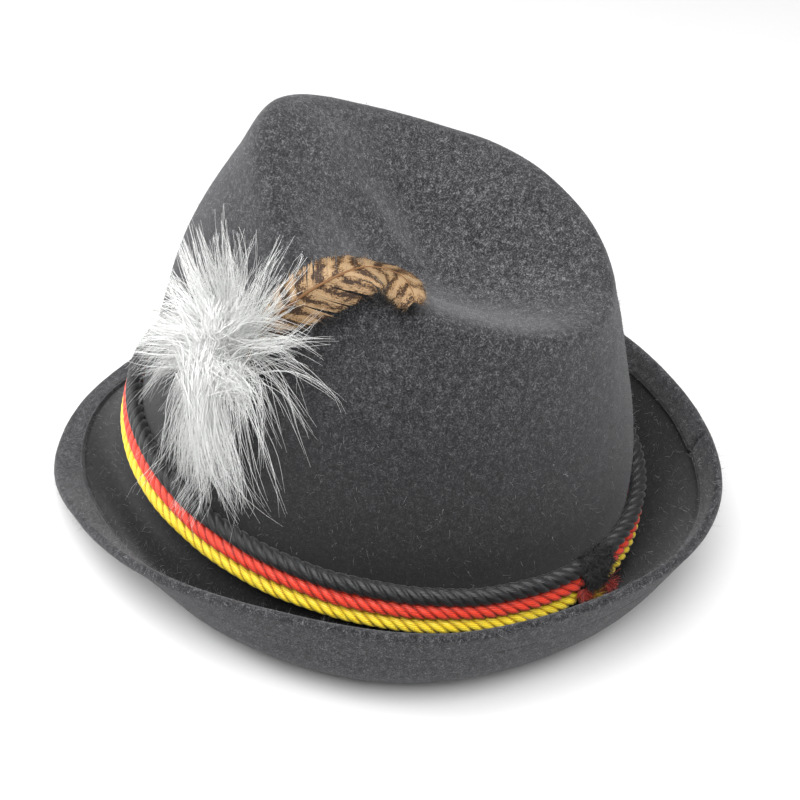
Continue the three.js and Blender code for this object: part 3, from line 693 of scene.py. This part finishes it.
def whipping_loop(angle, turn, grow):
    """Points round the bundle of three cords."""
    middle = lowest_cord_height + cord_diameter + cord_gap
    reach = 1.5 * cord_diameter + cord_gap + whipping_overlay + grow
    off = cord_diameter / 2 + cord_gap
    side = np.sin(turn)
    up = np.sign(side) * np.abs(side) ** 0.8 * reach
    out = np.maximum(np.cos(turn) * (cord_diameter / 2 + whipping_overlay + grow), -cord_diameter / 2)
    height = np.maximum(middle + up, 0)
    return beside_wall(angle, height, off + out)


# The thread, one tube that is wound unevenly from one side to the other
wind = np.linspace(0, 1, whipping_turns * steps_a_turn + 1)
angle = whipping_angle + (wind - 0.5) * (whipping_length - 1) / head_half_width
angle = angle + 0.012 * np.sin(wind * 61) + 0.008 * np.sin(wind * 143 + 1)
line, outwards = whipping_loop(angle, wind * whipping_turns * 2 * math.pi, -whipping_thread)
thread_line, thread_out = stand(line), stand(line + outwards) - stand(line)
binding_points, binding_faces, binding_uv = sweep(
    thread_line, thread_out,
    lambda turn: (np.tile(whipping_thread * np.cos(turn), (len(line), 1)),
                  np.tile(whipping_thread * np.sin(turn), (len(line), 1))),
    7, lambda turn: np.stack(np.meshgrid(wind * plies_wound, turn / (2 * math.pi), indexing="ij")[::-1],
                             -1).reshape(-1, 2))

# The bundle under it, closed, so nothing shows between the turns
bundle_length = whipping_length - 0.8
bundle_angles = whipping_angle + np.linspace(-0.5, 0.5, bundle_sections) * bundle_length / head_half_width
bundle_turn = np.arange(bundle_steps) / bundle_steps * 2 * math.pi
bundle = np.stack([stand(whipping_loop(a + 0 * bundle_turn, bundle_turn, -0.75)[0])
                   for a in bundle_angles])
j = np.arange(bundle_steps)
k = (j + 1) % bundle_steps
first = len(binding_points) + np.arange(bundle_sections) * bundle_steps
bundle_faces = [np.stack([a + j, b + j, b + k, a + k], -1) for a, b in zip(first[:-1], first[1:])]
bundle_faces += [first[0] + j[None], first[-1] + j[None, ::-1]]
whipping = mesh_object("thread_whipping", np.concatenate([binding_points, bundle.reshape(-1, 3)]),
                       binding_faces + bundle_faces,
                       np.concatenate([binding_uv, np.zeros((bundle_sections * bundle_steps, 2))]))

# Polyester thread: spun of continuous filament and dyed black, so nearly black, with a faint
# painted shine along its slanting plies.
black_thread, tree, shader = start_material("black polyester thread, wound", {"Roughness": 0.6})
lay = add(tree, "ShaderNodeUVMap", uv_map="lay").outputs[0]
parts = add(tree, "ShaderNodeSeparateXYZ", {0: lay})
ply = add(tree, "ShaderNodeMath", {0: parts.outputs[1], 1: 3.0, 2: parts.outputs[0]},
          operation="MULTIPLY_ADD")
ply = add(tree, "ShaderNodeMath", {0: ply.outputs[0], 1: 2 * math.pi}, operation="MULTIPLY")
ply = add(tree, "ShaderNodeMath", {0: ply.outputs[0]}, operation="SINE")
shade = add(tree, "ShaderNodeMapRange", {"Value": ply.outputs[0], "From Min": -1.0})
shade = add(tree, "ShaderNodeValToRGB", {0: shade.outputs[0]})
# The lighter stop is the painted shine on the plies
ramp_stops(shade, (0.2, "#060607"), (0.9, "#101013"))
tree.links.new(shade.outputs[0], shader.inputs["Base Color"])
settle(whipping, black_thread, "black_cord", "cord_whipping")


def frayed_end(name, finish, slot, root, lean, count, length, spread, seed):
    """A tuft of yarn ends. Its root is an angle in degrees, a height and a distance off the felt,
    it leans so far round, up and off the felt, and its ends are of a length in mm."""
    draw = np.random.default_rng(seed)
    t = np.linspace(0, 1, 6)
    angle = np.radians(root[0]) + draw.normal(0, 0.7 / head_half_width, count)
    height = root[1] + draw.normal(0, 0.6, count)
    off = root[2] + draw.normal(0, 0.5, count)
    reach = length * draw.uniform(0.6, 1.1, count)
    ways = unit(np.stack([part + draw.normal(0, spread, count) for part in lean], -1)) * reach[:, None]
    bend = draw.normal(0, 0.18, (count, 2)) * reach[:, None]
    a = angle[:, None] + (ways[:, :1] * t + bend[:, :1] * t ** 2) / head_half_width
    h = np.maximum(height[:, None] + ways[:, 1:2] * t + bend[:, 1:] * t ** 2, 0.0)
    o = np.maximum(off[:, None] + ways[:, 2:] * t, 0.5)
    radii = np.tile(0.16 * (1 - 0.6 * t), (count, 1))
    points, faces = tubes(stand(beside_wall(a, h, o)[0]), radii, 4)
    settle(mesh_object(name, points, faces, tube_uv(draw.uniform(0, 9, count), t * 6, 4)), finish, slot)


# Their first colours are painted shade for the grooves between the strands, too
dull_red = rayon("red rayon yarn, frayed", "#2c0805", "#8a1a0e", "#d2381c")
dull_yellow = rayon("yellow rayon yarn, frayed", "#2e2405", "#9c7c0c", "#dcb81e")
frayed_end("black_frayed_ends", black_rayon, "black_cord", (67.5, 14.5, 5.8), (0.1, 0.0, 0.6),
           420, 4.6, 0.75, 14)

# Eleven small tufts all over the winding, from its top to its foot
tuft_roots = ((64.5, 21, 7.0), (68.0, 22, 7.0), (71.5, 21, 7.0), (66.0, 17.5, 7.6), (70.0, 17.5, 7.6),
              (64.5, 24.5, 5.0), (67.0, 25.5, 4.6), (69.5, 25.5, 4.6), (72.0, 24.5, 5.0),
              (66.0, 14.5, 7.4), (70.0, 14.0, 7.4))
for k, root in enumerate(tuft_roots):
    frayed_end("black_frayed_binding_%d" % (k + 1), black_rayon, "black_cord", root, (0.0, -0.2, 0.35),
               170, 3.6, 0.9, 50 + k)
frayed_end("red_frayed_end_left", dull_red, "red_cord", (63.2, 12.5, 7.4), (0.3, -0.6, 0.4),
           190, 4.8, 0.35, 11)
frayed_end("yellow_frayed_end", dull_yellow, "yellow_cord", (66.0, 8.5, 7.8), (0.5, -0.5, 0.4),
           210, 5.2, 0.35, 12)
frayed_end("red_frayed_end_right", dull_red, "red_cord", (70.5, 11.5, 8.2), (0.3, -0.7, 0.4),
           210, 5.6, 0.35, 13)


# --- White plume ---------------------------------------------------------------------------------
# A bunch of white marabou: the soft down feathers of a turkey, tied together at their quills and
# sewn to the crown on the left. The barbs fan out above the tie, and the longest hang down over
# the felt and the cords.

plume_angle = math.radians(-20)
plume_height = 97.0
barb_radius = (0.075, 0.14)

# How far, in mm round, up and off the felt, a wisp is rooted beside its row's place and bulges on
# its way, and how far a barb strays at its root, half way and at its tip
wisp_root_spread = (2.4, 2.8, 2.0)
wisp_bulge = (2.6, 2.6, 1.8)
barb_root_spread = (2.6, 3.0, 2.4)
barb_middle_spread = (1.0, 1.0, 1.0)
barb_tip_spread = (1.1, 1.1, 0.8)
nearest_to_felt = 0.7

# Wisps of the plume, each a row: where they are rooted and where they end, both by how far round
# and up from the plume's middle and how far off the felt, then how many wisps there are, the
# barbs in each, how wide the wisps' ends are spread, and how far they are bowed downward
plume_wisps = (
    ((-9, 0, 9), (-16, 44, 12), 6, 17, 3.5, 1),
    ((-10, -1, 10), (-26, 35, 13), 5, 16, 3.5, 1),
    ((-11, -2, 10), (-37, 24, 15), 5, 15, 3.5, 0),
    ((-11, -3, 12), (-50, 0, 20), 5, 16, 4.0, -2),
    ((-12, -5, 12), (-49, -17, 29), 5, 15, 4.0, -4),
    ((-12, -7, 12), (-43, -29, 33), 5, 13, 4.0, -6),
    ((-8, 0, 9), (-7, 45, 13), 4, 15, 4.0, 0),
    ((-7, 0, 9), (3, 52, 14), 3, 9, 3.5, 1),
    ((-5, 0, 9), (12.5, 56, 14), 3, 15, 3.0, 2),
    ((-5, 0, 10), (21, 53, 15), 4, 14, 3.5, 2),
    ((-4, 0, 10), (27, 43, 15), 4, 13, 4.0, 1),
    ((-4, -1, 10), (31, 26, 14), 4, 12, 4.5, -2),
    ((-4, -2, 10), (35, 18, 13), 3, 7, 3.5, -4),
    ((-8, -1, 12), (8, 26, 20), 5, 16, 8.0, 0),
    ((-10, -2, 12), (-19, 18, 22), 5, 16, 8.0, 0),
    ((-11, -6, 12), (-41, -23, 20), 7, 24, 4.0, -7),
    ((-11, -8, 12), (-39, -38, 17), 7, 24, 4.0, -10),
    ((-11, -10, 11), (-36, -52, 14), 6, 16, 4.0, -11),
    ((-10, -12, 13), (-28, -24, 18), 5, 20, 5.0, -5),
    ((-9, -10, 14), (-7, -78, 9), 7, 24, 4.0, 0),
    ((-9, -10, 14), (0, -72, 9), 6, 22, 4.0, 0),
    ((-8, -10, 14), (8, -66, 9), 6, 20, 4.0, 0),
    ((-7, -10, 13), (15, -61, 9), 5, 16, 4.0, 0),
    ((-9, -11, 13), (-14, -71, 11), 5, 20, 4.0, 0),
    ((-10, -12, 12), (-22, -82, 11), 4, 9, 4.0, -2),
    ((-10, 4, 13), (-8, -26, 19), 7, 26, 5.0, 0),
    ((-9, 0, 15), (-5, -40, 16), 6, 22, 7.0, 0),
    ((-3, -8, 13), (14, -7, 18), 5, 16, 4.0, 0),
    ((-3, -9, 12), (20, -55, 9), 3, 9, 4.5, -3),
    ((0, -4, 11), (35, -5, 11), 5, 5, 5.5, -8),
    ((0, -5, 11), (32, -17, 10), 4, 6, 5.5, -8),
    ((0, -6, 11), (30, -36, 9), 3, 5, 5.5, -9),
    ((-1, -7, 11), (24, -56, 9), 3, 5, 4.5, -7),
    ((-1, -7, 12), (14, -28, 13), 6, 11, 7.0, -6),
)

# The crown's wall under the plume, worked out once on a grid and read between its lines
table_angles = np.radians(np.linspace(-95, 60, 79))
table_heights = np.linspace(0, plume_height, 49)
grid_angles, grid_heights = np.meshgrid(table_angles, table_heights, indexing="ij")
wall_table, wall_normals = beside_wall(grid_angles, grid_heights, 0 * grid_angles)


def beside_plume(around, up, off):
    """Places by how far round and up from the plume's middle and how far off the felt. Above the
    plume's head a place goes straight up, away from the sloping crown, and at the cords outside."""
    angle = plume_angle + around / head_half_width
    top_of_cords = lowest_cord_height + 3 * (cord_diameter + cord_gap)
    height = plume_height + np.minimum(up, 0)
    over_cords = np.clip((top_of_cords - height) / cord_diameter + 1, 0, 1)
    off = off + over_cords * (cord_diameter + 2 * cord_gap)
    rise = np.maximum(up, 0) + np.minimum(height, 0)
    x = (angle - table_angles[0]) / (table_angles[1] - table_angles[0])
    x = np.clip(x, 0, len(table_angles) - 1.001)
    y = np.clip(height / (table_heights[1] - table_heights[0]), 0, len(table_heights) - 1.001)
    i, j = np.floor(x).astype(int), np.floor(y).astype(int)
    fx, fy = (x - i)[..., None], (y - j)[..., None]
    read = lambda table: ((1 - fx) * (1 - fy) * table[i, j] + fx * (1 - fy) * table[i + 1, j]
                          + (1 - fx) * fy * table[i, j + 1] + fx * fy * table[i + 1, j + 1])
    at = read(wall_table) + unit(read(wall_normals)) * off[..., None]
    at[..., 2] += rise
    return at


def plume_barbs(seed, points_a_barb):
    """Middle lines of the long barbs. They leave the root together and meet again at each tip."""
    draw = np.random.default_rng(seed)
    lines = []
    t = np.linspace(0, 1, points_a_barb)
    for root, tip, wisps, barbs, spread, bow in plume_wisps:
        root, tip = np.array(root, float), np.array(tip, float)
        ends = tip + draw.normal(0, 1, (wisps, 3)) * (spread, spread, 0.35 * spread)
        ends = root + (ends - root) * draw.uniform(0.78, 1.02, (wisps, 1))
        bulge = draw.normal(0, 1, (wisps, 3)) * wisp_bulge
        count = wisps * barbs
        of = np.repeat(np.arange(wisps), barbs)
        start = root + draw.normal(0, 1, (wisps, 3))[of] * wisp_root_spread
        loose = draw.normal(0, 1, (count, 3)) * barb_root_spread
        end = ends[of] + draw.normal(0, 1, (count, 3)) * barb_tip_spread
        reach = draw.uniform(0.42, 1.0, count) ** 0.7
        middle = bulge[of] + draw.normal(0, 1, (count, 3)) * barb_middle_spread
        length = np.linalg.norm(end - start, axis=1)
        across = unit(np.stack([end[:, 1] - start[:, 1], start[:, 0] - end[:, 0], 0 * length], -1))
        g = (t[None] * reach[:, None])[..., None]
        arch = 4 * g * (1 - g)
        place = start[:, None] * (1 - g) + end[:, None] * g + middle[:, None] * arch
        place += loose[:, None] * (1 - g) ** 2.2
        place[..., 1] -= (bow + draw.normal(0, 0.8, count))[:, None] * arch[..., 0]
        wave = draw.uniform(0, 6.28, (2, count, 1))
        sway = np.sin(g[..., 0] * 7 + wave[0]) * 0.012 + np.sin(g[..., 0] * 15 + wave[1]) * 0.005
        sway = sway * length[:, None] * draw.uniform(0.3, 1.8, (count, 1))
        place += across[:, None] * sway[..., None] * g ** 0.5
        place[..., 2] = np.maximum(place[..., 2], nearest_to_felt)
        lines.append(beside_plume(place[..., 0], place[..., 1], place[..., 2]))
    return np.concatenate(lines), t


plume_lines, t = plume_barbs(21, 10)
draw = np.random.default_rng(22)
barb_radii = draw.uniform(*barb_radius, len(plume_lines))[:, None] * (1 - 0.72 * t[None] ** 1.3)
barb_points, barb_faces = tubes(stand(plume_lines), barb_radii, 3)
barb_uv = tube_uv(draw.uniform(0, 1, len(plume_lines)), t, 3)
plume = mesh_object("marabou_plume", barb_points, barb_faces, barb_uv)


def down_filaments(lines, count, shortest, longest, seed, reach_along):
    """Short fluff that stands off barbs, on them up to a share of their length."""
    draw = np.random.default_rng(seed)
    on = draw.integers(0, len(lines), count)
    share = reach_along * draw.uniform(0, 1, count) ** 1.3 * (lines.shape[1] - 1)
    i = np.minimum(share.astype(int), lines.shape[1] - 2)
    f = (share - i)[:, None]
    root = lines[on, i] * (1 - f) + lines[on, i + 1] * f
    ahead = unit(lines[on, i + 1] - lines[on, i])
    return loose_fibres(draw, root, 2.6 * ahead, shortest, longest, (0.03, 0.05), 4)


down = mesh_object("marabou_down", *down_filaments(stand(plume_lines), 6000, 1.5, 5.5, 23, 0.42))

# Marabou down: hollow white keratin filaments that scatter light like snow, so it looks matt and
# bright, a little blue-grey where it is thin and in its own shade. A faint white glow is painted
# light that stands in for the light scattered through the down.
down_finish, tree, shader = start_material("bleached marabou down", {
    "Roughness": 0.75, "Specular IOR Level": 0.3, "Emission Color": linear("#f4f6f6"),
    "Emission Strength": 0.03})
lay = add(tree, "ShaderNodeUVMap", uv_map="lay").outputs[0]
parts = add(tree, "ShaderNodeSeparateXYZ", {0: lay})
tone = add(tree, "ShaderNodeMath", {0: parts.outputs[0], 1: 0.6, 2: 0.2}, operation="MULTIPLY_ADD")
colour = add(tree, "ShaderNodeValToRGB", {0: tone.outputs[0]})
ramp_stops(colour, (0.1, "#dcdddc"), (0.6, "#e8e9e7"), (0.9, "#f2f2f0"))
tree.links.new(colour.outputs[0], shader.inputs["Base Color"])
settle(plume, down_finish, "plume", "plume")
settle(down, down_finish, "plume")


# --- Pheasant feather ----------------------------------------------------------------------------
# One body feather of a hen pheasant: a thin brown shaft with barbs hooked together into a tan
# vane, barred dark brown. Its quill is tied in behind the plume, and it curves over the crown.

feather_length = 64.0
feather_width = 21.0
feather_thickness = 1.2
feather_stand_off = 8.0
barbs_a_side = 300
barb_steps = 9
bars_along = 12

# Each half of the vane by its side: its width and how far its barbs slant ahead, as shares
vane_halves = {1: (0.8, 0.35), -1: (1.0, 0.9)}

# Along the feather: how far round from the plume as a share of its length, how far above the
# plume's own place up the crown in rings, the width and the stand-off as shares
feather_line = np.array((
    (0.04, -0.02, 0.1, 1.35),
    (0.025, 0.22, 0.4, 1.2),
    (0.06, 0.54, 0.72, 1.15),
    (0.12, 0.91, 0.9, 1.1),
    (0.23, 1.3, 1.0, 1.05),
    (0.37, 1.58, 1.0, 1.0),
    (0.54, 1.79, 0.92, 1.0),
    (0.67, 1.8, 0.76, 0.94),
    (0.765, 1.6, 0.5, 0.88),
    (0.79, 1.48, 0.2, 0.86),
))
feather_foot = float(ring_at_height(np.array([plume_angle]), np.array([plume_height]))[0])


def smooth_row(rows, share):
    """The smooth line through rows of numbers, at shares of its length from 0 to 1."""
    rows = np.concatenate([2 * rows[:1] - rows[1:2], rows, 2 * rows[-1:] - rows[-2:-1]])
    place = np.clip(share, 0, 1) * (len(rows) - 3)
    i = np.minimum(np.floor(place).astype(int), len(rows) - 4)
    f = (place - i)[..., None]
    return even_curve(rows[i], rows[i + 1], rows[i + 2], rows[i + 3], f)


def feather_middle(share):
    """The shaft's place, the direction off the felt and half the vane's width along the feather."""
    row = smooth_row(feather_line, share)
    angle = plume_angle + row[..., 0] * feather_length / head_half_width
    at, normal = beside_crown(angle, feather_foot + row[..., 1], row[..., 3] * feather_stand_off)
    return stand(at), stand(at + normal) - stand(at), row[..., 2] * feather_width / 2


shaft_share = np.linspace(0, 1, 161)
shaft_at, shaft_normal, shaft_half = feather_middle(shaft_share)
shaft_ahead = unit(np.gradient(shaft_at, axis=0))
shaft_across = unit(np.cross(shaft_normal, shaft_ahead))
shaft_run = run_of(shaft_at)


def vane(side, count, seed):
    """Barbs of one half of the vane, each a flat strip that leaves the shaft and bends ahead."""
    draw = np.random.default_rng(seed)
    root = np.linspace(0.03, 0.985, count) ** 0.95
    root_run = root * shaft_run[-1] + draw.normal(0, 0.06, count)
    w = np.linspace(0, 1, barb_steps)
    half = np.interp(root_run, shaft_run, shaft_half)
    half_share, slant = vane_halves[side]
    half = half * half_share * draw.uniform(0.93, 1.05, count)
    lock = np.cumsum(draw.uniform(0, 1, count) < 0.11)
    forward = (slant + draw.normal(0, 0.07, lock[-1] + 1)[lock]) * half
    run = root_run[:, None] + forward[:, None] * (w ** 1.2)[None]
    inside = np.minimum(run, shaft_run[-1])
    at, ahead, across, normal = (read_at(inside, shaft_run, table)
                                 for table in (shaft_at, shaft_ahead, shaft_across, shaft_normal))
    at = at + ahead * (run - inside)[..., None] * 0.8
    out = half[:, None] * w
    lift = feather_thickness * 0.7 - 0.12 * out - 0.5 * w[None] ** 3
    lift = lift + 0.25 * np.sin(root_run / 2.3)[:, None] * w
    middle = at + across * (side * out)[..., None] + normal * (lift + 0.15)[..., None]
    radii = np.tile(0.2 * (1 - 0.5 * w ** 2), (count, 1))
    points, faces = tubes(middle, radii, 3, 0.5)
    u = np.broadcast_to((root_run / shaft_run[-1])[:, None, None], (count, barb_steps, 3))
    v = np.broadcast_to((side * out)[..., None], (count, barb_steps, 3))
    return middle, points, faces, np.stack([u, v], -1).reshape(-1, 2)


vanes = [vane(1, barbs_a_side, 31), vane(-1, barbs_a_side, 32)]
margins = np.concatenate([middle[:, 5:] for middle, *block in vanes])
shaft_keep = slice(0, 158, 3)
shaft_lines = (shaft_at + shaft_normal * 0.9)[None, shaft_keep]
shaft_points, shaft_faces = tubes(shaft_lines, 0.75 * (1 - 0.75 * shaft_share[None, shaft_keep]), 8)
shaft_mark = 50.0
shaft_uv = np.stack([np.repeat(shaft_share[shaft_keep], 8), np.full(len(shaft_points), shaft_mark)], -1)
blocks = [block for middle, *block in vanes]
blocks += [down_filaments(margins, 900, 0.7, 2.4, 33, 1.0), (shaft_points, shaft_faces, shaft_uv)]
points, faces, uv, base = [], [], [], 0
for block_points, block_faces, block_uv in blocks:
    points.append(block_points)
    faces += [rows + base for rows in block_faces]
    uv.append(block_uv)
    base += len(block_points)
feather = mesh_object("barred_pheasant_feather", np.concatenate(points), faces, np.concatenate(uv))

# Pheasant contour feather: keratin with brown melanin. The vane is dull with a silky sheen along
# its barbs, tan with slanting dark bars and fine speckles between them, and the shaft is chestnut.
# The map runs along the feather from 0 to 1 and across it in mm, with the shaft out at its mark.
feather_finish, tree, shader = start_material("hen pheasant keratin, barred", {
    "Roughness": 0.55, "Specular IOR Level": 0.4})
lay = add(tree, "ShaderNodeUVMap", uv_map="lay").outputs[0]
parts = add(tree, "ShaderNodeSeparateXYZ", {0: lay})
noises = []
for cells, detail in (((22, 0.45, 1), 3.0), ((150, 2.4, 1), 2.0), ((11, 0.16, 1), 1.0)):
    spread = add(tree, "ShaderNodeMapping", {"Vector": lay, "Scale": cells})
    noises.append(add(tree, "ShaderNodeTexNoise", {
        "Vector": spread.outputs[0], "Scale": 1.0, "Detail": detail}).outputs[0])
ragged, speckle, patch = noises
jitter = add(tree, "ShaderNodeMath", {0: ragged, 1: 0.09, 2: parts.outputs[0]}, operation="MULTIPLY_ADD")
wave = add(tree, "ShaderNodeMath", {0: jitter.outputs[0], 1: 2 * math.pi * bars_along},
           operation="MULTIPLY")
wave = add(tree, "ShaderNodeMath", {0: wave.outputs[0]}, operation="SINE")
dark = add(tree, "ShaderNodeMath", {0: patch, 1: 3.4, 2: wave.outputs[0]}, operation="MULTIPLY_ADD")
dark = add(tree, "ShaderNodeMath", {0: speckle, 1: 6.0, 2: dark.outputs[0]}, operation="MULTIPLY_ADD")
dark = add(tree, "ShaderNodeMapRange", {"Value": dark.outputs[0], "From Min": 3.2, "From Max": 6.6})
colour = add(tree, "ShaderNodeValToRGB", {0: dark.outputs[0]})
ramp_stops(colour, (0.15, "#a58a68"), (0.46, "#8c6e4a"), (0.56, "#573a24"), (0.66, "#33200f"))
is_shaft = add(tree, "ShaderNodeMath", {0: parts.outputs[1], 1: shaft_mark - 10}, operation="GREATER_THAN")
both = add(tree, "ShaderNodeMix", {0: is_shaft.outputs[0], 6: colour.outputs[0], 7: linear("#6d4a28")},
           data_type="RGBA")
tree.links.new(both.outputs[2], shader.inputs["Base Color"])
settle(feather, feather_finish, "pheasant_feather", "pheasant_feather")


# --- Table and light -----------------------------------------------------------------------------
# The hat stands on a white table in a pale room. A wide soft box hangs overhead, another lights the
# hat from before its front, and a weak one keeps its back from going black.

bpy.ops.mesh.primitive_plane_add(size=6.0, location=(0, 0, 0))
table = bpy.context.object
table.name = "white_table"

# Matt wall paint: chalk and titanium white laid on with a roller, so flat, with faint wide clouds.
white_paint, tree, shader = start_material("matt white paint, rolled", {"Roughness": 0.9})
place = add(tree, "ShaderNodeTexCoord").outputs["Object"]
roll = add(tree, "ShaderNodeTexNoise", {"Vector": place, "Scale": 0.004 / millimetre, "Detail": 1.0})
colour = add(tree, "ShaderNodeValToRGB", {0: roll.outputs[0]})
ramp_stops(colour, (0.3, "#cfcfcf"), (0.7, "#d3d3d3"))
tree.links.new(colour.outputs[0], shader.inputs["Base Color"])
table.data.materials.append(white_paint)

room = bpy.data.worlds.new("pale room")
room.use_nodes = True
room.node_tree.nodes["Background"].inputs["Color"].default_value = linear("#fbfbfc")
room.node_tree.nodes["Background"].inputs["Strength"].default_value = 0.27
bpy.context.scene.world = room

crown_middle = np.array((0, 0, 0.08))


def soft_light(name, size, power, place):
    """A square soft box of a size in metres and a power in watts, turned to the crown's middle."""
    bpy.ops.object.light_add(type="AREA", location=place)
    light = bpy.context.object
    light.name = name
    light.data.shape = "SQUARE"
    light.data.size = size
    light.data.energy = power
    back = np.array(place, float) - crown_middle
    light.rotation_euler = (math.atan2(math.hypot(back[0], back[1]), back[2]), 0,
                            math.atan2(back[1], back[0]) + math.pi / 2)


soft_light("soft box overhead", 1.1, 32.0, (0.38, 0.16, 1.25))
soft_light("soft box before the hat", 0.9, 14.0, (0.0, -1.15, 0.7))
soft_light("soft box behind the hat", 0.9, 2.0, (-0.25, 1.15, 0.8))

# The camera looks down from the hat's left and a little behind it
frame_pixels = 800
azimuth, elevation, distance = math.radians(112.16), math.radians(40.6), 0.515
back = np.array((math.sin(azimuth) * math.cos(elevation), -math.cos(azimuth) * math.cos(elevation),
                 math.sin(elevation)))
aimed = np.array((0, 0.0013, 0.055))
bpy.ops.object.camera_add(location=(aimed + back * distance).tolist())
camera = bpy.context.object
camera.data.sensor_width = 36.0
camera.data.lens = 58.86
camera.data.shift_x = 26.6 / frame_pixels
camera.data.shift_y = -12.7 / frame_pixels
camera.data.clip_start = 0.01
camera.rotation_euler = (math.pi / 2 - elevation, 0, azimuth)
bpy.context.scene.camera = camera
bpy.context.scene.view_settings.view_transform = "Standard"
bpy.context.scene.view_settings.exposure = 0.0
